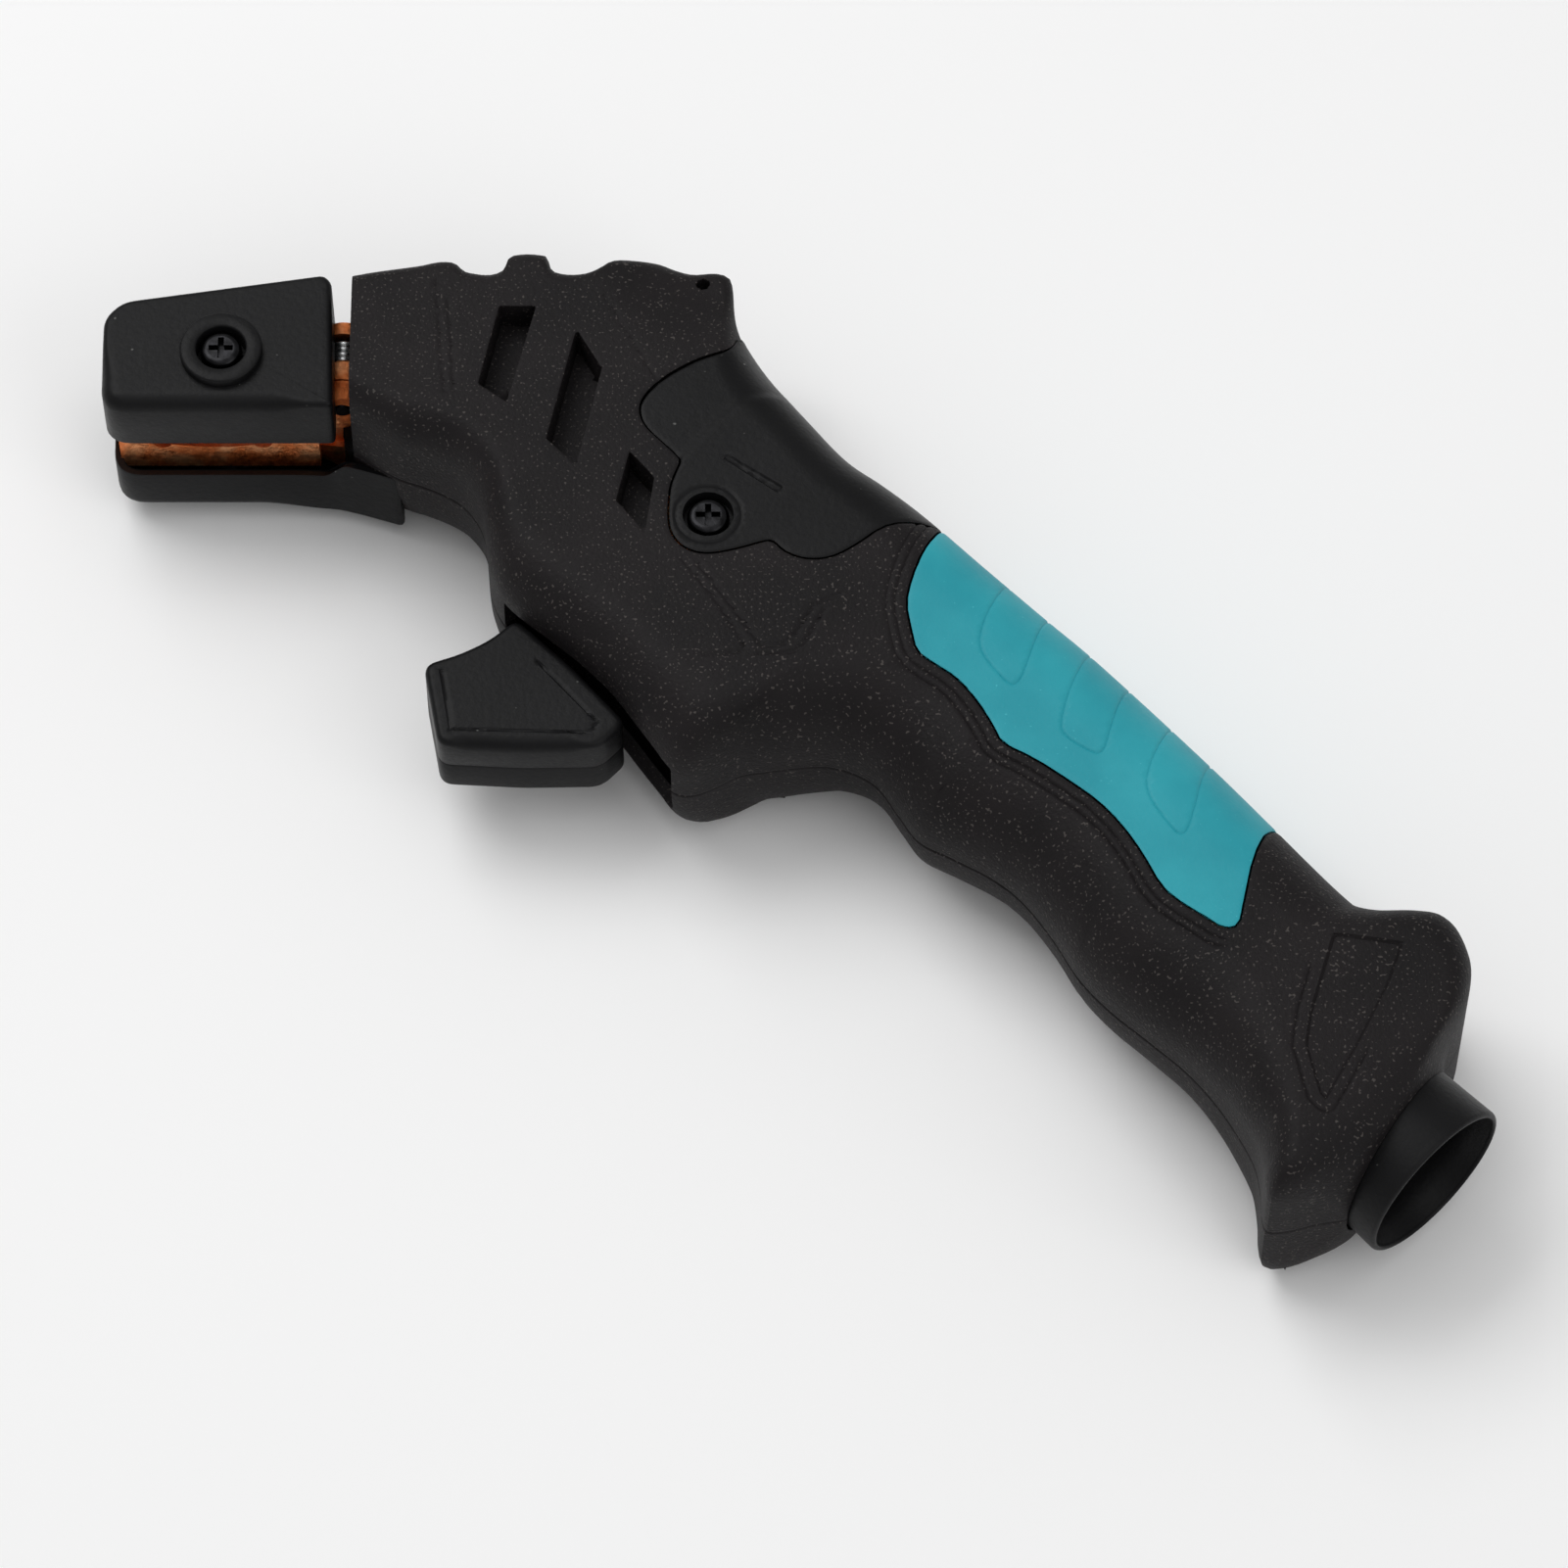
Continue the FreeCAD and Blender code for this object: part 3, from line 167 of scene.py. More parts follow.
# Mesh object from points in mm and triangles: doubles merged, unused points and empty triangles dropped,
# smooth but for edges sharper than an angle.
def makeMesh(name, points, faces, sharpAngle=38.0):
    points = np.asarray(points, float).reshape(-1, 3)
    _, first, same = np.unique(np.round(points, 4), axis=0, return_index=True, return_inverse=True)
    points, faces = points[first], same.reshape(-1)[faces]
    full = (faces[:, 0] != faces[:, 1]) & (faces[:, 1] != faces[:, 2]) & (faces[:, 2] != faces[:, 0])
    used, faces = np.unique(faces[full], return_inverse=True)
    faces = faces.reshape(-1, 3)
    points = points[used] * 0.001
    mesh = bpy.data.meshes.new(name)
    mesh.vertices.add(len(points))
    mesh.vertices.foreach_set("co", points.ravel())
    mesh.loops.add(faces.size)
    mesh.loops.foreach_set("vertex_index", faces.ravel())
    mesh.polygons.add(len(faces))
    mesh.polygons.foreach_set("loop_start", np.arange(0, faces.size, 3))
    mesh.update(calc_edges=True)
    mesh.validate()
    mesh.polygons.foreach_set("use_smooth", np.ones(len(mesh.polygons), bool))
    mesh.set_sharp_from_angle(angle=math.radians(sharpAngle))
    piece = bpy.data.objects.new(name, mesh)
    bpy.context.scene.collection.objects.link(piece)
    return piece


# sRGB hex to linear RGBA.
def hexColour(text):
    c = [int(text[i:i + 2], 16) / 255 for i in (1, 3, 5)]
    return [x / 12.92 if x <= 0.04045 else ((x + 0.055) / 1.055) ** 2.4 for x in c] + [1.0]


# Adds a node. inputs maps a socket's name or number to a value or to another node's output; stops are the
# places and colours of a colour ramp.
def addNode(tree, kind, inputs=None, stops=(), **settings):
    node = tree.nodes.new(kind)
    for key, value in settings.items():
        setattr(node, key, value)
    for key, value in (inputs or {}).items():
        if isinstance(value, bpy.types.NodeSocket):
            tree.links.new(value, node.inputs[key])
        else:
            node.inputs[key].default_value = value
    if stops:
        bands = node.color_ramp.elements
        while len(bands) < len(stops):
            bands.new(0.5)
        for band, (place, colour) in zip(bands, stops):
            band.position = place
            band.color = colour
    return node


def newMaterial(name, **fixed):
    material = bpy.data.materials.new(name)
    material.use_nodes = True
    tree = material.node_tree
    tree.nodes.clear()
    out = addNode(tree, "ShaderNodeOutputMaterial")
    shader = addNode(tree, "ShaderNodeBsdfPrincipled")
    for key, value in fixed.items():
        shader.inputs[key.replace("_", " ")].default_value = value
    tree.links.new(shader.outputs[0], out.inputs[0])
    return material, tree, shader


# Moulded plastic: spark-eroded grain as bump, slight cloudiness of colour, painted glints as pale specks.
def plasticMaterial(name, p):
    material, tree, shader = newMaterial(name, IOR=p["ior"], Specular_IOR_Level=p["gloss"])
    place = addNode(tree, "ShaderNodeTexCoord").outputs["Object"]
    grain = addNode(tree, "ShaderNodeTexNoise", {"Vector": place, "Scale": 1000 / p["grainMm"], "Detail": 2.0,
                                                 "Roughness": 0.6})
    cloud = addNode(tree, "ShaderNodeTexNoise", {"Vector": place, "Scale": 1000 / p["cloudMm"],
                                                 "Detail": 3.0})
    glintSpeck = addNode(tree, "ShaderNodeTexNoise", {"Vector": place, "Scale": 1000 / p["glintSpeckMm"],
                                                 "Detail": 0.0})
    base = addNode(tree, "ShaderNodeValToRGB", {"Fac": cloud.outputs["Fac"]},
                   [(0.35, hexColour(p["dark"])), (0.65, hexColour(p["light"]))])
    # pale specks mixed into the base colour: painted glints where light catches the grain
    glintSpots = addNode(tree, "ShaderNodeValToRGB", {"Fac": glintSpeck.outputs["Fac"]},
                    [(p["glintSpeckFrom"], (0, 0, 0, 1)), (p["glintSpeckFrom"] + 0.05, (1, 1, 1, 1))])
    mixed = addNode(tree, "ShaderNodeMix", {0: glintSpots.outputs[0], 6: base.outputs[0],
                                            7: hexColour(p["glintSpeck"])},
                    data_type="RGBA")
    tree.links.new(mixed.outputs[2], shader.inputs["Base Color"])
    rough = addNode(tree, "ShaderNodeMapRange", {"Value": grain.outputs["Fac"], "To Min": p["rough"] - 0.06,
                                                 "To Max": p["rough"] + 0.06})
    tree.links.new(rough.outputs[0], shader.inputs["Roughness"])
    bump = addNode(tree, "ShaderNodeBump", {"Height": grain.outputs["Fac"], "Strength": p["bump"],
                                            "Distance": p["grainMm"] * 0.0004})
    tree.links.new(bump.outputs[0], shader.inputs["Normal"])
    return material


# the speck colour, size and share in each finish below are painted glints of the grain
casingNylon = dict(ior=1.5, gloss=0.13, grainMm=0.55, cloudMm=14.0, glintSpeckMm=0.42, glintSpeckFrom=0.71,
                   dark="#171516", light="#1d1a1b", glintSpeck="#45413f", rough=0.56, bump=0.55)
coverPolymer = dict(ior=1.5, gloss=0.13, grainMm=0.9, cloudMm=18.0, glintSpeckMm=0.9, glintSpeckFrom=0.86,
                    dark="#101011", light="#151516", glintSpeck="#5a5a58", rough=0.42, bump=0.16)
gripElastomer = dict(ior=1.48, gloss=0.25, grainMm=0.6, cloudMm=12.0, glintSpeckMm=0.5, glintSpeckFrom=0.82,
                     dark="#2694a2", light="#2e9fac", glintSpeck="#3fabb6", rough=0.52, bump=0.22)
finishes = {
    "casing_plastic": plasticMaterial("glassFilledNylon", casingNylon),     # eroded mould, dull and speckled
    "cover_plastic": plasticMaterial("smoothHeatPolymer", coverPolymer),    # polished mould, soft sheen
    "grip_plastic": plasticMaterial("tealElastomer", gripElastomer),        # soft moulded rubber, even colour
}


# Sand-cast copper: lumpy skin, brown oxide in the hollows, bright orange on the high spots.
def copperMaterial(p):
    material, tree, shader = newMaterial("sandCastCopper", Metallic=1.0)
    place = addNode(tree, "ShaderNodeTexCoord").outputs["Object"]
    lumps = addNode(tree, "ShaderNodeTexNoise", {"Vector": place, "Scale": 1000 / p["lumpMm"], "Detail": 6.0,
                                                 "Roughness": 0.65})
    patch = addNode(tree, "ShaderNodeTexNoise", {"Vector": place, "Scale": 1000 / p["patchMm"],
                                                 "Detail": 4.0})
    colour = addNode(tree, "ShaderNodeValToRGB", {"Fac": patch.outputs["Fac"]},
                     [(0.32, hexColour(p["oxide"])), (0.5, hexColour(p["middle"])),
                      (0.68, hexColour(p["bright"]))])
    tree.links.new(colour.outputs[0], shader.inputs["Base Color"])
    rough = addNode(tree, "ShaderNodeMapRange", {"Value": lumps.outputs["Fac"], "From Min": 0.3,
                                                 "From Max": 0.7, "To Min": 0.34, "To Max": 0.6})
    tree.links.new(rough.outputs[0], shader.inputs["Roughness"])
    bump = addNode(tree, "ShaderNodeBump", {"Height": lumps.outputs["Fac"], "Strength": 0.7,
                                            "Distance": p["lumpMm"] * 0.0004})
    tree.links.new(bump.outputs[0], shader.inputs["Normal"])
    return material


# Plated or oxide-black steel: near even colour, fine rolled grain.
def metalMaterial(name, colour, rough, grainMm, bumpStrength, metallic=1.0):
    material, tree, shader = newMaterial(name, Metallic=metallic)
    place = addNode(tree, "ShaderNodeTexCoord").outputs["Object"]
    grain = addNode(tree, "ShaderNodeTexNoise", {"Vector": place, "Scale": 1000 / grainMm, "Detail": 4.0})
    tone = addNode(tree, "ShaderNodeValToRGB", {"Fac": grain.outputs["Fac"]},
                   [(0.3, hexColour(colour[0])), (0.7, hexColour(colour[1]))])
    tree.links.new(tone.outputs[0], shader.inputs["Base Color"])
    rough = addNode(tree, "ShaderNodeMapRange", {"Value": grain.outputs["Fac"], "To Min": rough - 0.08,
                                                 "To Max": rough + 0.08})
    tree.links.new(rough.outputs[0], shader.inputs["Roughness"])
    bump = addNode(tree, "ShaderNodeBump", {"Height": grain.outputs["Fac"], "Strength": bumpStrength,
                                            "Distance": grainMm * 0.0002})
    tree.links.new(bump.outputs[0], shader.inputs["Normal"])
    return material


finishes["cast_copper"] = copperMaterial(dict(lumpMm=1.1, patchMm=5.0, oxide="#c4602f", middle="#ea8850",
                                              bright="#ffbb86"))
finishes["steel"] = metalMaterial("blackOxideSteel", ("#1b1b1c", "#2c2c2e"), 0.30, 1.2, 0.15)
finishes["spring_steel"] = metalMaterial("drawnSpringWire", ("#a9aaab", "#d2d3d3"), 0.25, 0.8, 0.10)
finishes["brass_socket"] = metalMaterial("turnedBrass", ("#a8843c", "#c8a252"), 0.32, 0.8, 0.15)
finishes["guide_plastic"] = metalMaterial("acetal", ("#c9c7c0", "#dad8d2"), 0.45, 1.0, 0.1, 0.0)
slotOf = {row["node"]: row["material_slot"] for row in frame["record"]["subparts"]}
for node, thing in frame["nodes"].items():       # every CAD node gets the finish of its slot
    thing.data.materials.clear()
    thing.data.materials.append(finishes[slotOf[node]])
print("materials ready:", len(finishes))


# Rides the piece on its body, gives it its finish and hides the CAD nodes that it stands for.
def finishPiece(piece, slot, body="casing", replaced=()):
    piece.data.materials.append(finishes[slot])
    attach(piece, body)
    if replaced:
        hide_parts(*replaced)
    return piece


# Knots are (station, x, y) in mm on the parting plane; stations run from the jaws to the tail.
casing = dict(
    front=[(0, -28.3, 24.3), (0.5, -24.8, 21.8), (1, -20.9, 19.6), (1.4, -18.1, 18.6), (1.8, -14.4, 16.9),
           (2, -12.3, 15.5), (2.5, -9.5, 12.0), (3, -8.2, 8.2), (3.5, -7.8, 4.4), (4, -7.4, 0.3),
           (4.5, -6.6, -2.6), (5, -5.3, -5.2), (5.5, -3.0, -7.8), (6, -0.6, -9.9), (7, 7.0, -16.6),
           (7.5, 11.0, -21.0), (8, 14.6, -26.2), (8.5, 17.4, -30.3), (8.8, 19.4, -33.2), (9, 21.4, -34.1),
           (9.3, 24.6, -33.4), (9.6, 29.0, -31.0), (10, 33.0, -30.2), (10.5, 38.0, -29.5), (11, 42.3, -29.3),
           (11.5, 46.5, -30.6), (12, 49.8, -33.0), (12.5, 52.6, -37.4), (13, 55.6, -41.8),
           (13.5, 60.5, -44.6),
           (14, 66.3, -48.0), (14.5, 70.6, -51.9), (15, 74.6, -57.6), (15.5, 78.4, -64.3), (16, 82.6, -69.3),
           (16.5, 87.8, -74.0), (17, 93.4, -79.2), (17.5, 97.4, -84.2), (18, 100.4, -89.2),
           (18.5, 102.7, -94.2),
           (19, 103.4, -98.6), (19.5, 103.5, -102.4), (19.8, 104.2, -104.4), (20, 106.4, -104.4),
           (20.5, 111.2, -103.2), (21, 115.0, -102.6), (21.6, 115.5, -102.3)],
    back=[(0, -28.3, 46.2), (0.3, -25.5, 46.8), (1, -18.2, 48.0), (1.35, -14.8, 48.7), (1.5, -13.0, 48.4),
          (1.62, -11.7, 47.1), (1.72, -10.6, 46.7), (2, -6.6, 46.7), (2.05, -5.6, 47.4), (2.12, -4.9, 49.4),
          (2.2, -3.9, 49.9), (2.45, -0.3, 49.9), (2.53, 0.7, 49.5), (2.6, 1.3, 47.5), (2.68, 2.2, 46.8),
          (3, 6.8, 46.7), (3.12, 8.6, 47.6), (3.3, 10.6, 49.2), (3.5, 13.0, 49.7), (3.8, 17.4, 49.7),
          (4, 19.8, 48.9), (4.2, 22.2, 48.3), (4.6, 26.6, 48.3), (4.72, 27.9, 47.6), (4.8, 28.3, 46.4),
          (5, 28.6, 42.0), (5.2, 29.0, 39.4), (6, 31.8, 35.4), (6.5, 35.4, 30.2), (7, 40.5, 23.6),
          (7.5, 46.0, 17.0), (8, 51.1, 13.0), (8.5, 55.2, 9.8), (9, 58.6, 7.0), (10, 65.9, 0.5),
          (11, 71.4, -4.6), (12, 76.2, -9.2), (13, 81.8, -14.6), (14, 90.9, -24.3), (15, 98.8, -33.1),
          (16, 108.0, -43.8), (17, 117.5, -55.3), (17.4, 119.2, -57.3), (17.6, 121.6, -58.2),
          (18, 126.8, -59.0), (18.4, 130.2, -60.2), (18.7, 132.2, -62.8), (19, 133.6, -67.4),
          (19.5, 133.0, -73.4), (20, 131.6, -76.8), (20.5, 130.2, -79.2), (21, 129.7, -80.6),
          (21.6, 130.3, -81.0)],
    # station, half depth, front corner across, front corner deep, back corner across, back corner deep
    shape=[(0, 17.0, 4.5, 5.5, 2.6, 2.6), (2, 17.0, 6.0, 7.5, 2.6, 2.6), (4, 17.0, 8.0, 9.0, 2.8, 2.8),
           (5, 17.0, 8.0, 8.0, 3.0, 3.0), (6, 17.0, 8.0, 8.0, 9.0, 10.5), (7, 17.0, 8.0, 8.0, 9.0, 11.0),
           (8, 17.0, 9.0, 8.6, 9.5, 11.0), (9, 16.9, 12.0, 11.0, 11.0, 12.0),
           (10, 16.4, 14.0, 13.0, 12.5, 13.0),
           (11, 16.0, 14.0, 13.0, 13.0, 13.2), (12, 15.8, 14.0, 13.0, 13.0, 13.2),
           (15, 15.8, 14.0, 13.0, 13.0, 13.2), (17, 16.4, 12.0, 12.0, 12.0, 12.5),
           (18, 17.0, 9.0, 10.0, 8.0, 8.0), (19, 17.0, 7.0, 8.0, 6.0, 6.0),
           (20, 16.6, 6.0, 7.0, 6.0, 6.0), (20.6, 15.6, 7.5, 8.0, 7.5, 8.0),
           (21, 14.4, 10.0, 11.0, 10.0, 11.0), (21.6, 13.1, 12.9, 13.0, 12.9, 13.0)],
    # front corners of the half that faces down, which starts to round close to the parting line
    lower=[(0, 9.0, 15.0), (8, 9.5, 15.0), (9, 12.0, 15.0), (10, 13.6, 14.6), (12, 13.6, 14.2),
           (15, 13.6, 14.2),
           (17, 12.0, 13.6), (18, 9.0, 12.0), (19, 7.0, 9.0), (20, 6.0, 7.5), (20.6, 7.5, 8.0),
           (21, 10.0, 11.0), (21.6, 12.9, 13.0)],
    slotStations=(5.05, 8.82), slotRise=7.0,      # trigger slot, and its reach from the parting plane
    seamEase=0.35, seamDepth=0.22,                # height and depth of the fine line where the halves meet
    tab=dict(corner=(9.2, 41.9), toward=(0.88, 0.474), drop=3.2, depth=17.0, over=16.0, above=(30.0, 44.0)),
    wall=2.0,
)


# Stations whose section lines are about evenly spaced, measured at both edges.
def evenStations(low, high, count):
    s = np.linspace(low, high, 4000)
    f, b = smoothCurve(casing["front"], s), smoothCurve(casing["back"], s)
    step = np.linalg.norm(np.diff(f, axis=0), axis=1) + np.linalg.norm(np.diff(b, axis=0), axis=1)
    run = np.concatenate([[0], np.cumsum(step)])
    return np.interp(np.linspace(0, run[-1], count), run, s)


# Casing surface. Across a section, q runs 0-1 up the front wall, 1-2 round the front corner, 2-3 over the
# flat, 3-4 round the back corner and 4-5 down the back wall; 5-10 is the mirror image below the parting
# plane.
def casingPoint(s, q):
    f, b = smoothCurve(casing["front"], s), smoothCurve(casing["back"], s)
    shape = smoothCurve(casing["shape"], s)
    deep, fa, fd, ba, bd = (shape[..., i] for i in range(5))
    deep = np.minimum(deep, mid)
    lower = smoothCurve(casing["lower"], s)
    fa, fd = np.where(q > 5, lower[..., 0], fa), np.where(q > 5, lower[..., 1], fd)
    width = np.linalg.norm(b - f, axis=-1)
    side = np.where(q > 5, -1.0, 1.0)
    q = np.where(q > 5, 10 - q, q)
    rise = np.minimum(casing["slotRise"], (deep - fd) * 0.6)
    wall = np.where(q < 0.5, q * 2 * rise, rise + (q * 2 - 1) * (deep - fd - rise))
    turn = np.clip(q - 1, 0, 1) * math.pi / 2
    turnBack = np.clip(4 - q, 0, 1) * math.pi / 2
    across = np.select([q <= 1, q <= 2, q <= 3, q <= 4],
                       [0 * q, fa * (1 - np.cos(turn)), fa + (q - 2) * (width - fa - ba),
                        width - ba * (1 - np.cos(turnBack))], width + 0 * q)
    height = np.select([q <= 1, q <= 2, q <= 3, q <= 4],
                       [wall, deep - fd * (1 - np.sin(turn)), deep + 0 * q,
                        deep - bd * (1 - np.sin(turnBack))],
                       (5 - q) * (deep - bd))
    # the two halves draw in a little where they meet, which leaves a fine line
    ease = casing["seamDepth"] * (1 - ramp(height, 0.0, casing["seamEase"]))
    across = np.where(q < 2.5, across + ease, across - ease)
    plan = f + (b - f) * (across / width)[..., None]
    return np.stack([plan[..., 0], plan[..., 1], mid + side * height], axis=-1)


rearCover = roundedLoop([(29.9, 38.6), (28.4, 32.4), (23.9, 30.9), (20.4, 28.9), (17.6, 26.8), (15.2, 24.0),
                         (14.6, 21.6), (15.5, 18.9), (18.4, 15.9), (20.9, 13.2), (20.7, 12.4), (19.6, 9.6),
                         (19.2, 7.6), (19.0, 2.9), (19.6, 0.1), (21.6, -2.2), (24.8, -3.1), (29.6, -2.0),
                         (33.6, -0.6), (34.6, -0.9), (36.0, -2.6), (38.9, -3.9), (42.8, -3.7), (46.6, -1.4),
                         (50.4, 1.8), (54.0, 3.2), (60.0, 5.0), (66.0, 16.0), (40.0, 48.0)], 4)
gripEdge = roundedLoop([(62.0, 12.0), (58.5, 2.6), (56.3, -2.0), (54.5, -7.0), (53.7, -11.0), (54.4, -15.2),
                        (55.2, -18.9), (57.6, -20.7), (61.0, -23.1), (63.9, -26.9), (66.1, -31.0),
                        (67.3, -33.9), (72.0, -36.4), (77.1, -40.2), (81.0, -43.4), (84.3, -47.3),
                        (87.2, -52.1), (89.7, -57.5), (92.6, -60.2), (95.5, -62.2), (98.4, -64.4),
                        (100.6, -63.9), (101.4, -60.0), (103.0, -52.5), (105.6, -45.9), (114.0, -36.0),
                        (90.0, 5.0)], 2)


# Distance in plan from points to an outline or an open line.
def inPlan(points, loop, closed=True):
    return polygonDistance(loop, points[:, 0], points[:, 1], closed)


# Small roll of an edge: nothing at width inside it, the full drop on it.
def edgeSoftness(d, width, drop):
    return drop * np.clip(1 - d / width, 0, 1) ** 2


details = dict(
    seamGap=0.16,                       # half of the gap between the casing and its inserts
    vents=[[(-6.3, 39.8), (-0.8, 39.8), (-4.9, 23.0), (-9.2, 26.2)],
           [(5.2, 35.8), (9.1, 28.9), (5.5, 12.1), (1.0, 16.7)],
           [(13.3, 14.6), (17.0, 10.1), (15.7, 0.6), (11.4, 6.1)]],
    ventDepth=5.4,
    # open lines as (points, half width, depth)
    lines=[([(-15.7, 44.3), (-14.9, 34.6), (-14.1, 25.0)], 0.35, 0.16),
           ([(-13.9, 41.1), (-13.3, 34.6), (-12.7, 25.0)], 0.35, 0.16),
           ([(9.2, 41.9), (13.1, 34.6), (17.5, 26.5)], 0.35, 0.14),
           ([(21.1, -3.6), (26.2, -10.8), (30.0, -17.6), (30.3, -18.8), (29.4, -19.5),
             (24.1, -19.9)], 0.4, 0.22),
           ([(23.6, -4.7), (29.1, -12.7), (32.6, -18.2), (33.6, -18.6), (36.2, -18.0), (37.4, -16.9),
             (40.4, -11.5), (44.1, -9.8)], 0.4, 0.22),
           ([(32.2, -19.8), (37.4, -19.4), (38.8, -18.2), (41.9, -12.3)], 0.4, 0.2),
           ([(57.6, -31.0), (58.6, -34.6), (58.9, -38.4), (58.1, -44.0)], 0.8, 0.16),
           ([(63.0, -53.0), (65.2, -50.4), (68.2, -48.4), (71.1, -47.2)], 0.8, 0.16),
           ([(77.2, -50.6), (79.2, -53.2), (80.1, -56.4), (80.0, -60.4), (78.8, -64.3)], 0.8, 0.16)],
    gripGrooves=(1.7, 3.0),
    tailPanel=[(113.8, -65.2), (123.8, -66.9), (121.6, -73.2), (116.9, -82.9), (111.9, -92.0), (111.0, -91.0),
               (109.2, -83.3), (110.0, -78.0)],
    lanyard=(23.9, 45.6, 1.1),
)


# One half shell: the casing surface on a grid, less the rear cover, the grip, the trigger slot and the
# lanyard hole, with every line and sunk area cut along its own edge.
def casingHalf(name, upper, stationCount, flatRows, cornerRows, wallRows, screws=()):
    s = evenStations(0.0, 21.6, stationCount)
    q = np.concatenate([np.linspace(0, 0.5, wallRows, endpoint=False),
                        np.linspace(0.5, 1, wallRows, endpoint=False),
                        np.linspace(1, 2, cornerRows, endpoint=False),
                        np.linspace(2, 3, flatRows, endpoint=False),
                        np.linspace(3, 4, cornerRows, endpoint=False),
                        np.linspace(4, 5, wallRows), [0.04, 4.96]])
    station, around = np.meshgrid(s, np.sort(q) if upper else 10 - np.sort(q), indexing="ij")
    p = np.dstack([casingPoint(station, around), station, np.minimum(around, 10 - around)]).reshape(-1, 5)
    f = gridTriangles(*station.shape)
    n = pointNormals(p, f)
    if np.mean(n[:, 2]) * (1 if upper else -1) < 0:
        f = f[:, ::-1]
    gap = details["seamGap"]
    for loop in (rearCover, gripEdge):
        p, f = scoreMesh(p, f, inPlan(p, loop) - gap, keep=1)
        p, f = scoreMesh(p, f, inPlan(p, loop) - gap - 0.35)
    slotFrom, slotTo = casing["slotStations"]
    slot = np.maximum(np.maximum(slotFrom - p[:, 3], p[:, 3] - slotTo), p[:, 4] - 2.0) * 8
    slot = np.maximum(slot, np.abs(p[:, 2] - mid) - casing["slotRise"])
    p, f = scoreMesh(p, f, slot, keep=1)
    cx, cy, r = details["lanyard"]
    p, f = scoreMesh(p, f, np.hypot(p[:, 0] - cx, p[:, 1] - cy) - r, keep=1)
    for loop, half, depth in details["lines"]:
        for off in (half, 0.08):
            p, f = scoreMesh(p, f, inPlan(p, loop, False) - off)
    for off in details["gripGrooves"]:
        for side in (-0.35, 0.0, 0.35):
            p, f = scoreMesh(p, f, inPlan(p, gripEdge) - off - side)
    for off in (0.0, -0.45):
        p, f = scoreMesh(p, f, inPlan(p, details["tailPanel"]) - off)
    for off in (1.3, 1.65, 2.0):
        p, f = scoreMesh(p, f, inPlan(p, details["tailPanel"]) - off)
    if upper:
        for loop in details["vents"]:
            for off in (0.12, 0.0, -0.14):
                p, f = scoreMesh(p, f, inPlan(p, loop) - off)
    for x, y, r, depth in screws:
        for off in (0.0, -0.14):
            p, f = scoreMesh(p, f, np.hypot(p[:, 0] - x, p[:, 1] - y) - r - off)
    n = pointNormals(p, f)
    x, y = p[:, 0], p[:, 1]
    sunk = np.zeros(len(p))
    for loop, half, depth in details["lines"]:
        sunk = np.maximum(sunk, depth * np.clip((half - inPlan(p, loop, False)) / (half - 0.08), 0, 1))
    along = ramp(x, 46.0, 56.0) * (1 - ramp(x, 97.0, 101.0))
    for off in details["gripGrooves"]:
        sunk = np.maximum(sunk, along * 0.26 * np.clip(1 - np.abs(inPlan(p, gripEdge) - off) / 0.35, 0, 1))
    tab = casing["tab"]                                        # the upper face falls away towards the tab
    beyond = (x - tab["corner"][0]) * tab["toward"][0] + (y - tab["corner"][1]) * tab["toward"][1]
    slope = tab["drop"] / tab["depth"] * ramp(beyond, 0.0, tab["over"]) * ramp(y, *tab["above"])
    slope = slope if upper else 0.0
    panel = inPlan(p, details["tailPanel"])
    left = 1 - ramp(x + 0.55 * y, 70.5, 73.5)
    sunk = np.maximum(sunk, 0.5 * np.clip(-panel / 0.45, 0, 1))
    sunk = np.maximum(sunk, left * 0.25 * np.clip(1 - np.abs(panel - 1.65) / 0.35, 0, 1))
    sunk = sunk * ramp(np.abs(n[:, 2]), 0.2, 0.6)
    if upper:
        for loop in details["vents"]:
            d = inPlan(p, loop)
            sunk = np.where(d < -0.07, details["ventDepth"], np.where(d < 0.06, sunk + 0.06, sunk))
    for cx, cy, r, depth in screws:
        sunk = np.where(np.hypot(x - cx, y - cy) - r < -0.07, depth, sunk)
    for loop in (rearCover, gripEdge):
        sunk = sunk + edgeSoftness(inPlan(p, loop) - gap, 0.35, 0.12)
    p[:, :3] -= n * sunk[:, None]
    p[:, 2] -= (p[:, 2] - mid) * slope
    return makeMesh(name, *thicken(p, f, casing["wall"]))


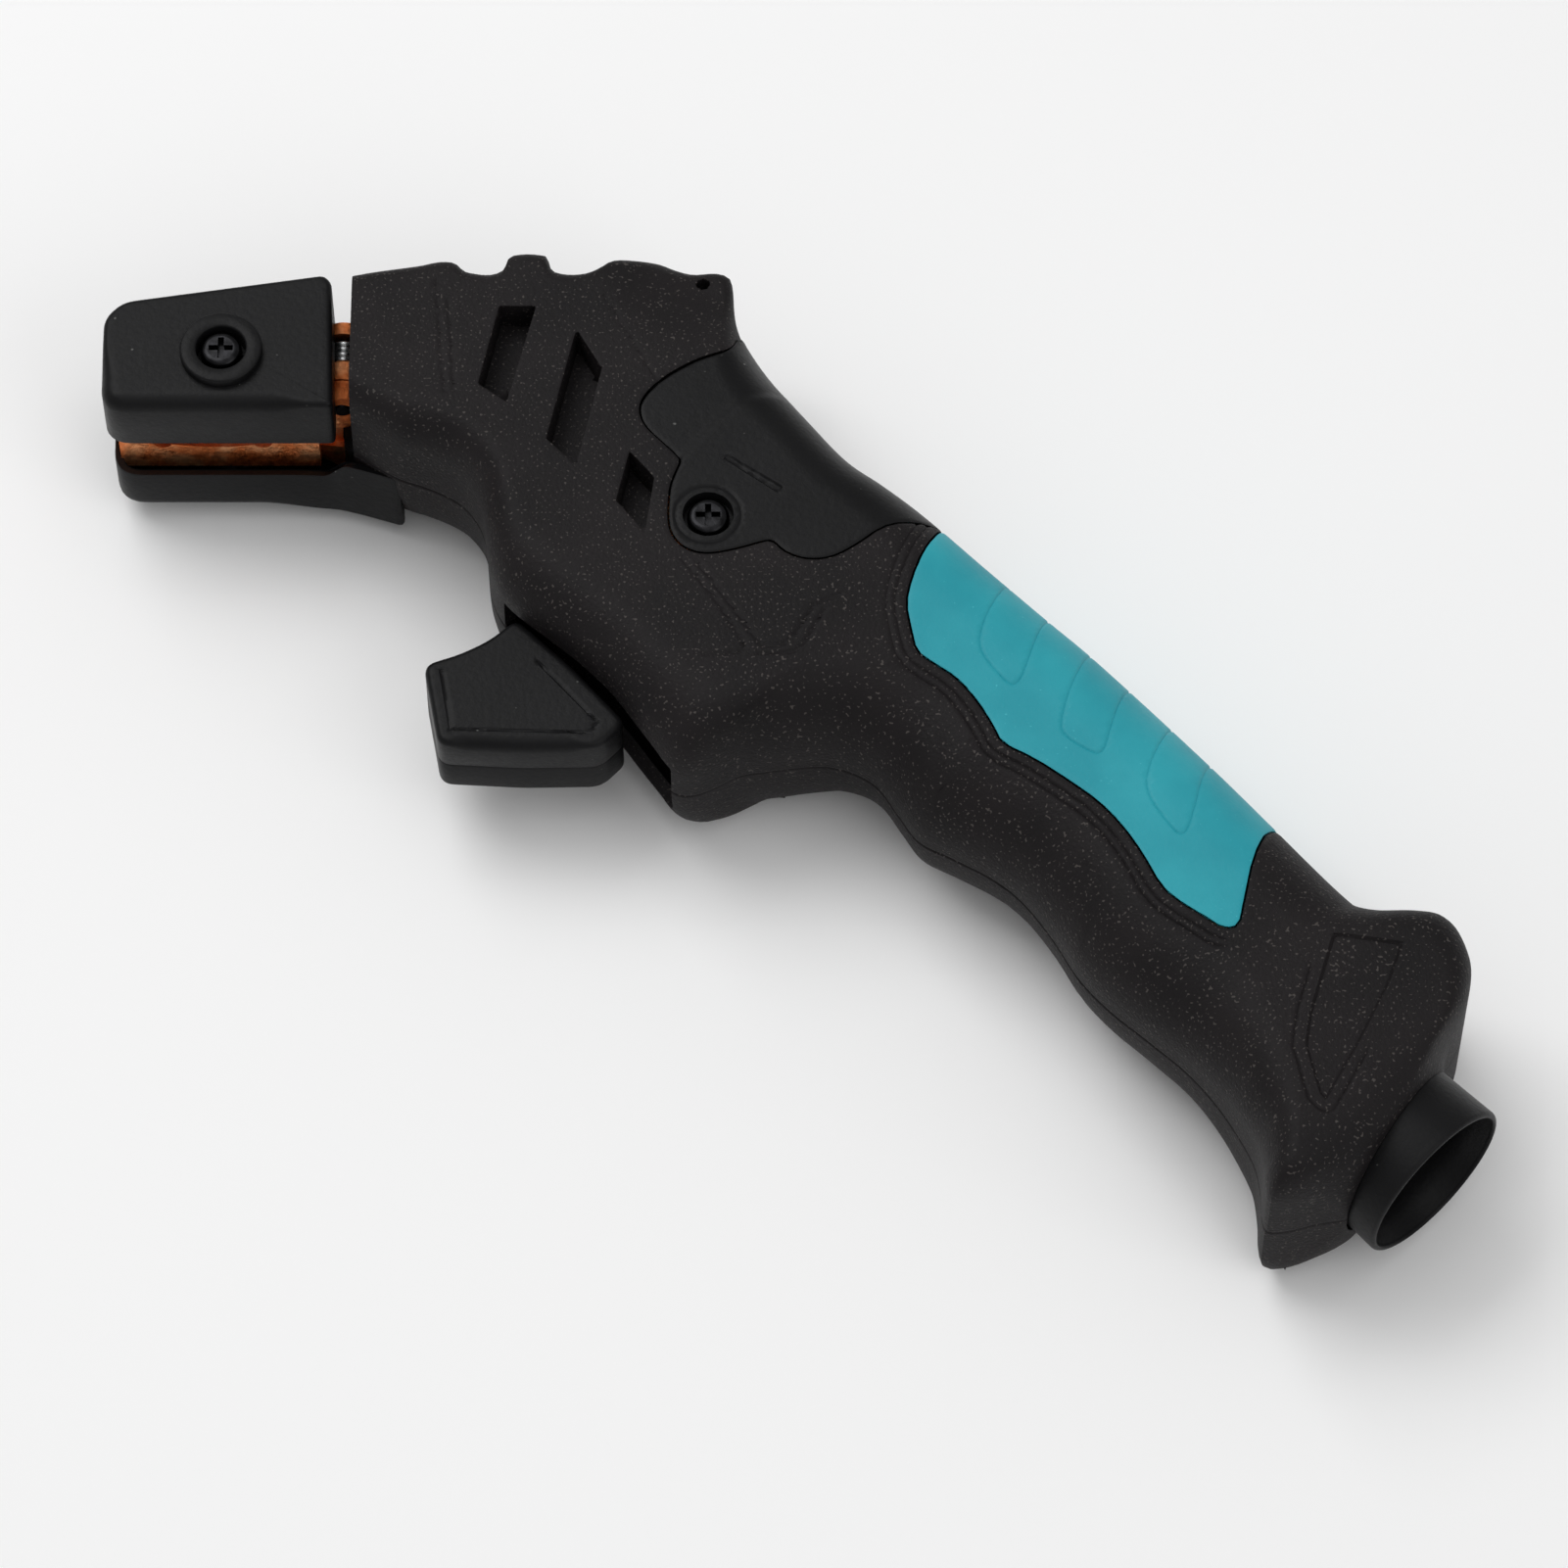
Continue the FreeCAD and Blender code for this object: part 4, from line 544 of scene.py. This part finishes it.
# A skin that wraps the casing's back from one face to the other, inside a plan outline.
def skinPiece(name, low, high, stationCount, flatFrom, flatRows, cornerRows, wallRows, loop, scores, relief,
              wall=1.5, spine=None, lift=0.0):
    s = evenStations(low, high, stationCount)
    half = np.concatenate([np.linspace(flatFrom, 2, cornerRows, endpoint=False) if flatFrom < 2 else [],
                           np.linspace(max(flatFrom, 2), 3, flatRows, endpoint=False),
                           np.linspace(3, 4, cornerRows, endpoint=False),
                           np.linspace(4, 5, wallRows, endpoint=False)])
    q = np.concatenate([half, [5.0], (10 - half)[::-1]])
    station, around = np.meshgrid(s, q, indexing="ij")
    p = np.dstack([casingPoint(station, around), station, around]).reshape(-1, 5)
    f = gridTriangles(*station.shape)
    n = pointNormals(p, f)
    top = n[(p[:, 4] > 2.2) & (p[:, 4] < 2.8)]
    if top[:, 2].mean() < 0:
        f = f[:, ::-1]
    gap = details["seamGap"]
    if spine:
        p, f = scoreMesh(p, f, spine(p), keep=-1)
    p, f = scoreMesh(p, f, inPlan(p, loop) + gap, keep=-1)
    p, f = scoreMesh(p, f, inPlan(p, loop) + gap + 0.35)
    for score in scores:
        p, f = scoreMesh(p, f, score(p))
    n = pointNormals(p, f)
    roll = edgeSoftness(-inPlan(p, loop) - gap, 0.35, 0.12)
    if spine:
        roll = roll + edgeSoftness(-spine(p), 0.8, lift * 0.8)
    out = lift - roll - relief(p, n)
    p[:, :3] += n * out[:, None]
    return makeMesh(name, *thicken(p, f, wall))


coverMarks = dict(screw=(24.9, 3.7), recess=3.75, recessDepth=2.0, ring=4.85,
                  bar=[(27.0, 13.2), (27.8, 14.0), (36.0, 8.4), (35.2, 7.2)],
                  shoulder=[(36.5, 25.6), (34.1, 24.6), (29.5, 22.3), (25.7, 18.6), (22.2, 14.1),
                            (20.6, 12.0), (5, 5), (5, 45), (35, 45)])


def fromScrew(p):
    return np.hypot(p[:, 0] - coverMarks["screw"][0], p[:, 1] - coverMarks["screw"][1])


# Screw recess with a fine ring round it, the shallow bar, and the low shoulder at the cover's head end.
def coverRelief(p, n):
    r = fromScrew(p)
    sunk = 0.16 * np.clip(1 - np.abs(r - coverMarks["ring"]) / 0.35, 0, 1)
    sunk = np.maximum(sunk, 0.3 * np.clip(-inPlan(p, coverMarks["bar"]) / 0.3, 0, 1))
    sunk = sunk + 0.3 * ramp(-inPlan(p, coverMarks["shoulder"]), 0.0, 1.4)
    sunk = sunk * ramp(np.abs(n[:, 2]), 0.2, 0.6)
    return np.where(r - coverMarks["recess"] < -0.07, coverMarks["recessDepth"], sunk)


coverScores = [lambda p, k=k: fromScrew(p) - k for k in (3.75, 3.61, 4.5, 4.85, 5.2)]
coverScores += [lambda p, k=k: inPlan(p, coverMarks["bar"]) + k for k in (0.0, 0.3)]

lozenges = [[(69.2, -2.6), (67.4, -7.7), (65.0, -13.5), (64.0, -18.4), (68.3, -24.0), (69.3, -24.3),
             (70.2, -23.4), (71.4, -20.1), (73.5, -12.8), (75.6, -7.4)],
            [(82.0, -11.8), (79.5, -18.8), (77.2, -25.1), (75.8, -30.6), (76.4, -32.8), (80.4, -35.5),
             (81.6, -35.5), (82.3, -34.4), (83.4, -30.0), (85.0, -24.6), (87.4, -18.4)],
            [(93.4, -24.6), (91.1, -30.8), (88.8, -36.5), (87.6, -41.8), (91.8, -48.4), (92.8, -49.0),
             (93.7, -48.3), (94.9, -44.4), (96.4, -37.5), (98.8, -31.0)]]
lozenges = [roundedLoop(points, 4) for points in lozenges]


# Three lozenges on each side of the grip, each outlined by a fine groove.
def gripRelief(p, n):
    sunk = np.zeros(len(p))
    for loop in lozenges:
        sunk = np.maximum(sunk, 0.2 * np.clip(1 - np.abs(inPlan(p, loop)) / 0.28, 0, 1))
    return sunk


gripScores = [lambda p, loop=loop, k=k: inPlan(p, loop) - k for loop in lozenges for k in (-0.28, 0.0, 0.28)]

leftShell = casingHalf("leftShell", True, 300, 64, 9, 9)
finishPiece(leftShell, "casing_plastic", replaced=("left_shell",))
screwSinks = [(18.0, 41.4, 3.35, 2.9), (37.0, -22.4, 3.35, 2.9),       # x, y, radius and depth
              (108.24, -99.37, 3.35, 3.3), (127.04, -71.47, 3.35, 3.3)]
rightShell = casingHalf("rightShell", False, 240, 44, 8, 8, screwSinks)
finishPiece(rightShell, "casing_plastic", replaced=("right_shell",))
rearSkin = skinPiece("rearCover", 4.6, 10.2, 100, 2.12, 44, 9, 9, rearCover, coverScores, coverRelief)
finishPiece(rearSkin, "cover_plastic", replaced=("rear_cover",))
gripSkin = skinPiece("gripInsert", 8.6, 17.4, 160, 1.3, 34, 12, 4, gripEdge, gripScores, gripRelief)
finishPiece(gripSkin, "grip_plastic", replaced=("grip_insert",))
# black strip, raised a little, laid over the grip's spine inside each lozenge
for number, loop in enumerate(lozenges):
    low, high = ((10.0, 12.6), (12.2, 15.0), (13.8, 16.2))[number]
    blackStrip = skinPiece(f"spineBlackStrip{number}", low, high, 40, 3.0, 2, 16, 6, gripEdge, [],
                      lambda p, n: 0 * p[:, 0], wall=0.8, lift=0.55,
                      spine=lambda p, loop=loop: np.maximum(inPlan(p, loop) + 0.5,
                                                            (np.abs(p[:, 4] - 5) - 0.6) * 6))
    finishPiece(blackStrip, "casing_plastic")
print("casing pieces:", [len(o.data.polygons) for o in (leftShell, rightShell, rearSkin, gripSkin)])


# Solid of revolution: a closed profile of (distance along the axis, radius) in mm, turned about the axis.
def turnedPiece(name, profile, base, axis, steps=96):
    axis = np.array(axis, float) / np.linalg.norm(axis)
    side = np.cross(axis, (0, 0, 1)) if abs(axis[2]) < 0.9 else np.array([1.0, 0, 0])
    side = side / np.linalg.norm(side)
    other = np.cross(axis, side)
    along, radius = np.array(profile, float).T
    turn = np.linspace(0, 2 * math.pi, steps, endpoint=False)
    circle = np.cos(turn)[:, None] * side + np.sin(turn)[:, None] * other
    p = np.array(base) + along[:, None, None] * axis + radius[:, None, None] * circle[None]
    rows = len(profile)
    r, c = np.meshgrid(np.arange(rows), np.arange(steps), indexing="ij")
    a, b = r * steps + c, (r + 1) % rows * steps + c
    d, e = (r + 1) % rows * steps + (c + 1) % steps, r * steps + (c + 1) % steps
    f = np.concatenate([np.stack([a, b, d], -1).reshape(-1, 3), np.stack([a, d, e], -1).reshape(-1, 3)])
    p = p.reshape(-1, 3)
    if np.einsum("ij,ij->", p[f[:, 0]], np.cross(p[f[:, 1]], p[f[:, 2]])) < 0:
        f = f[:, ::-1]
    return makeMesh(name, p, f, 50.0)


# Moulded cap: up the side wall along the outline, round the edge in a quarter circle, and over a flat top
# whose rings shrink to the middle; then given its wall. over=-1 turns the cap upside down; foot moves the
# open rim out from the outline.
def cappedPiece(name, outline, low, high, edge, wall, scores=(), relief=None, over=1, foot=0.0):
    loop = np.array(outline, float)
    step = np.roll(loop, -1, axis=0) - np.roll(loop, 1, axis=0)
    if np.sum(loop[:, 0] * np.roll(loop[:, 1], -1) - loop[:, 1] * np.roll(loop[:, 0], -1)) < 0:
        step = -step
    inward = np.stack([-step[:, 1], step[:, 0]], 1) / (np.linalg.norm(step, axis=1, keepdims=True) + 1e-9)
    edge = np.broadcast_to(edge, (len(loop),))
    base, top = (low, high) if over > 0 else (high, low)
    base = np.broadcast_to(base, (len(loop),))
    rings = [(loop + foot + inward * 0.12, base), (loop + foot, base + over * 0.3)]
    for t in np.linspace(0, math.pi / 2, 8):
        rings.append((loop + inward * (edge * (1 - math.cos(t)))[:, None],
                      top - over * edge * (1 - math.sin(t))))
    flat = rings[-1][0]
    middle = flat.mean(axis=0)
    rings += [(middle + (flat - middle) * k, np.full(len(loop), top)) for k in np.linspace(0.96, 0.0, 20)]
    p = np.concatenate([np.column_stack(ring) for ring in rings])
    f = gridTriangles(len(rings), len(loop), True)
    a, b, c = (p[f[:, i]] for i in range(3))
    if np.cross(b - a, c - a)[:, 2].sum() * over < 0:
        f = f[:, ::-1]
    for score in scores:
        p, f = scoreMesh(p, f, score(p))
    if relief is not None:
        onTop = np.abs(p[:, 2] - top) < 0.01
        p = p - np.column_stack([0 * onTop, 0 * onTop, over * relief(p) * onTop])
    return makeMesh(name, *thicken(p, f, wall))


# Closed run whose corners are rounded by a curve that starts a radius from each corner, then spaced
# evenly.
def denseLoop(points, radius, gap=0.6):
    p = np.array(points, float)
    before, after = np.roll(p, 1, axis=0) - p, np.roll(p, -1, axis=0) - p
    lengthB, lengthA = (np.linalg.norm(v, axis=1, keepdims=True) for v in (before, after))
    cut = np.minimum(np.broadcast_to(np.reshape(radius, (-1, 1)), lengthB.shape), 0.45 * np.minimum(lengthB,
                                                                                                    lengthA))
    start, end = p + before / lengthB * cut, p + after / lengthA * cut
    t = np.linspace(0, 1, 9)[None, :, None]
    loop = (1 - t) ** 2 * start[:, None] + 2 * t * (1 - t) * p[:, None] + t ** 2 * end[:, None]
    loop = loop.reshape(-1, 2)
    loop = np.vstack([loop, loop[:1]])
    run = np.concatenate([[0], np.cumsum(np.linalg.norm(np.diff(loop, axis=0), axis=1))])
    at = np.linspace(0, run[-1], int(run[-1] / gap), endpoint=False)
    return np.column_stack([np.interp(at, run, loop[:, 0]), np.interp(at, run, loop[:, 1])])


# cable sleeve: a thin rounded lip round a bore that opens a little at the mouth
sleeve = dict(mouth=(128.30, -96.67), angle=-46.0, radius=12.85, bore=10.5, length=28.0, flare=0.9, lip=0.7)
slant = math.radians(sleeve["angle"])
inTo = (-math.cos(slant), -math.sin(slant), 0.0)
r, lip = sleeve["radius"], sleeve["lip"]
bend = [(lip * (1 - math.sin(t)), r - lip + lip * math.cos(t)) for t in np.linspace(0, math.pi / 2, 6)]
bend += [(lip * (1 - math.cos(t)), r - lip - lip * math.sin(t) * 0.4)
         for t in np.linspace(0.3, math.pi / 2, 5)]
sleeveProfile = [(sleeve["length"], r - 0.4), (10.0, r - 0.35)] + bend + [
    (2.4, sleeve["bore"] + sleeve["flare"] * 0.4), (5.0, sleeve["bore"]), (sleeve["length"], sleeve["bore"])]
cableSleeve = turnedPiece("cableSleeve", sleeveProfile, (*sleeve["mouth"], mid), inTo)
finishPiece(cableSleeve, slotOf["cable_sleeve"], replaced=("cable_sleeve",))

# trigger blade: crisp outline, a broad soft edge along its front, a panel line a little in from the rim
trigger = dict(outline=[(-16.7, -15.4), (-11.4, -13.5), (-7.2, -11.2), (-3.3, -7.6), (4.8, -15.6),
                        (13.1, -25.2), (9.2, -29.3), (-2.0, -29.5), (-14.3, -28.8)],
               low=10.5, high=23.5, edge=1.0, frontEdge=2.0, corner=1.8, wall=1.5,
               panel=[(-14.2, -16.2), (-12.5, -26.4), (7.8, -27.0), (8.8, -25.2), (-0.3, -14.8)])
triggerLoop = denseLoop(trigger["outline"], trigger["corner"], 0.5)
triggerEdge = trigger["edge"] + (trigger["frontEdge"] - trigger["edge"]) * (
    ramp(-triggerLoop[:, 1], 27.5, 28.6) * ramp(triggerLoop[:, 0], -13.0, -10.0)
    * (1 - ramp(triggerLoop[:, 0], 4.5, 7.5)))
blade = []
for side, low, high in ((1, mid, trigger["high"]), (-1, trigger["low"], mid)):
    half = cappedPiece("triggerBlade" if side > 0 else "triggerUnderside", triggerLoop, low, high,
                       triggerEdge if side > 0 else trigger["edge"], trigger["wall"],
                       [lambda p, k=k: inPlan(p, trigger["panel"], False) - k for k in (0.3, 0.06)],
                       lambda p: 0.2 * np.clip((0.3 - inPlan(p, trigger["panel"], False)) / 0.24, 0, 1), side)
    blade.append(half)
finishPiece(blade[0], slotOf["trigger"], "trigger_lever")
finishPiece(blade[1], slotOf["trigger"], "trigger_lever", replaced=("trigger",))
print("sleeve and trigger:", [len(o.data.polygons) for o in (cableSleeve, *blade)])

# jaw covers: smooth caps over the copper, the upper one with a raised ring round its screw
lowBox, highBox = (np.array(c) * 1000 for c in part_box("moving_jaw_cover"))
upperCap = dict(edge=0.9, frontEdge=2.3, wall=1.4, bossRadius=6.1, bossRise=1.5, recess=3.7, recessDeep=2.0)
screwLow, screwHigh = (np.array(c) * 1000 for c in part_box("moving_cover_screw"))
capX, capY = (screwLow + screwHigh)[:2] / 2
x0, y0, x1, y1 = lowBox[0], lowBox[1], highBox[0], highBox[1]
capLoop = denseLoop([(x0, y1 - 7.6), (x0 + 2.7, y1 - 4.7), (x1 - 1.9, y1), (x1 - 0.7, y1 - 1.3),
                     (x1, y0 + 2.0), (x1, y0), (x0, y0)], [2.2, 2.2, 1.3, 1.3, 1.3, 1.4, 4.0], 0.5)
capEdge = upperCap["edge"] + (upperCap["frontEdge"] - upperCap["edge"]) * (
    (1 - ramp(capLoop[:, 1], y0 + 4.0, y0 + 12.0)) * (1 - ramp(capLoop[:, 0], x1 - 9.0, x1 - 3.0)))


def fromBoss(p):
    return np.hypot(p[:, 0] - capX, p[:, 1] - capY)


# Hole for the screw, a little wider than the ring's bore.
def capRelief(p):
    return upperCap["recessDeep"] * np.clip((upperCap["recess"] + 0.5 - fromBoss(p)) / 0.12, 0, 1)


capTop = highBox[2] - upperCap["bossRise"]
draft = 4.6 * np.clip((x1 - 2.0 - capLoop[:, 0]) / 30.0, 0, 1) * ramp(capLoop[:, 1], y0 + 6.0, y1 - 7.0)
upperCover = cappedPiece("movingJawCover", capLoop, lowBox[2], capTop, capEdge, upperCap["wall"],
                         [lambda p, k=k: fromBoss(p) - upperCap["recess"] - k for k in (0.5, 0.38)],
                         capRelief, foot=np.column_stack([0 * draft, draft]))
outer, inner, rise, deep = (upperCap[k] for k in ("bossRadius", "recess", "bossRise", "recessDeep"))
bossProfile = [(-0.6, outer), (rise - 0.35, outer), (rise - 0.1, outer - 0.1), (rise, outer - 0.35),
               (rise, inner + 0.3), (rise - 0.1, inner + 0.08), (rise - 0.35, inner), (-deep, inner),
               (-deep, inner + 1.2), (-0.6, inner + 1.2)]
coverBoss = turnedPiece("movingCoverBoss", bossProfile, (capX, capY, capTop), (0, 0, 1))
finishPiece(coverBoss, slotOf["moving_jaw_cover"], "upper_jaw")
finishPiece(upperCover, slotOf["moving_jaw_cover"], "upper_jaw", replaced=("moving_jaw_cover",))

# lower cover: broad round at its nose and lower edge, and a tongue that sweeps back to the casing
lowBox, highBox = (np.array(c) * 1000 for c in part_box("fixed_jaw_cover"))
x0, y1, x1 = lowBox[0], highBox[1], highBox[0]
lowerCap = dict(noseEdge=2.8, tongueEdge=0.7, wall=1.3, front=23.2, frontRim=12.8, screw=(-47.5, 33.2),
                recess=3.6, recessEdge=0.15, recessDeep=2.4)
y0 = lowerCap["front"]
lowerLoop = denseLoop([(x0, y1 - 4.0), (x0 + 3.0, y1), (x1 - 8.0, y1), (x1 - 7.6, y0 + 3.8),
                       (x1 - 0.1, y0 - 0.6), (x1, y0 - 3.4), (x1 - 5.5, y0 - 1.6), (x1 - 10.0, y0 - 0.3),
                       (x1 - 15.0, y0), (x0, y0)],
                      [2.8, 2.8, 1.3, 1.3, 1.3, 1.3, 2.8, 2.8, 2.8, 4.4])
lowerEdge = lowerCap["tongueEdge"] + (lowerCap["noseEdge"] - lowerCap["tongueEdge"]) * (
    (1 - ramp(lowerLoop[:, 1], y0 + 6.0, y0 + 14.0)) * (1 - ramp(lowerLoop[:, 0], x1 - 22.0, x1 - 12.0)))
lowerRim = lowerCap["frontRim"] + (highBox[2] - lowerCap["frontRim"]) * np.maximum(
    ramp(lowerLoop[:, 1], y0 + 5.0, y0 + 10.0), ramp(lowerLoop[:, 0], x1 - 12.0, x1 - 8.0))


# Distance in plan from the screw of the lower cover.
def fromLowerScrew(p):
    return np.hypot(p[:, 0] - lowerCap["screw"][0], p[:, 1] - lowerCap["screw"][1])


# Recess for that screw, with a steep narrow edge.
def lowerRelief(p):
    inside = (lowerCap["recess"] - fromLowerScrew(p)) / lowerCap["recessEdge"]
    return lowerCap["recessDeep"] * np.clip(inside, 0, 1)


lowerCover = cappedPiece("fixedJawCover", lowerLoop, lowBox[2], lowerRim, lowerEdge, lowerCap["wall"],
                         [lambda p, k=k: fromLowerScrew(p) - k for k in (3.6, 3.45)], lowerRelief, -1)
finishPiece(lowerCover, slotOf["fixed_jaw_cover"], replaced=("fixed_jaw_cover",))
print("jaw covers:", [len(o.data.polygons) for o in (upperCover, coverBoss, lowerCover)])


# camera that looks down at the tool on its side, pale floor, soft light
view = dict(elevation=61.0, distance=1.090, target=(0.036, -0.032, 0.017), lens=171.6)
camera = bpy.data.objects.new("camera", bpy.data.cameras.new("camera"))
bpy.context.scene.collection.objects.link(camera)
tilt = math.radians(view["elevation"])
camera.location = (view["target"][0], view["target"][1] - math.cos(tilt) * view["distance"],
                   view["target"][2] + math.sin(tilt) * view["distance"])
camera.rotation_euler = (math.pi / 2 - tilt, 0, 0)
camera.data.lens = view["lens"]
camera.data.sensor_width = 36.0
camera.data.clip_start = 0.05
bpy.context.scene.camera = camera

floorMaterial, _, floorShader = newMaterial("paleFloor", Roughness=0.7)
floorShader.inputs["Base Color"].default_value = hexColour("#fbfbfb")
bpy.ops.mesh.primitive_plane_add(size=6.0, location=(0, 0, 0))
floor = bpy.context.object
floor.name = "floor"
floor.data.materials.append(floorMaterial)


def softLight(name, place, target, size, power):
    lamp = bpy.data.objects.new(name, bpy.data.lights.new(name, "AREA"))
    bpy.context.scene.collection.objects.link(lamp)
    lamp.data.shape = "RECTANGLE"
    lamp.data.size, lamp.data.size_y = size
    lamp.data.energy = power
    lamp.location = place
    toward = np.array(target) - np.array(place)
    flat = math.hypot(toward[0], toward[1])
    lamp.rotation_euler = (math.atan2(flat, -toward[2]), 0, math.atan2(-toward[0], toward[1]))


softLight("keyLight", (-0.5, 0.5, 1.1), (0.03, -0.03, 0), (0.9, 0.7), 7.0)
softLight("fillLight", (0.8, -0.7, 0.8), (0.03, -0.03, 0), (0.9, 0.9), 3.0)
softLight("topLight", (0.0, 0.0, 1.6), (0.03, -0.03, 0), (1.6, 1.6), 5.0)
world = bpy.data.worlds.new("studio")
bpy.context.scene.world = world
world.use_nodes = True
world.node_tree.nodes["Background"].inputs[0].default_value = (1, 1, 1, 1)
world.node_tree.nodes["Background"].inputs[1].default_value = 0.40
bpy.context.scene.view_settings.view_transform = "Standard"
print("camera, floor and lights ready")
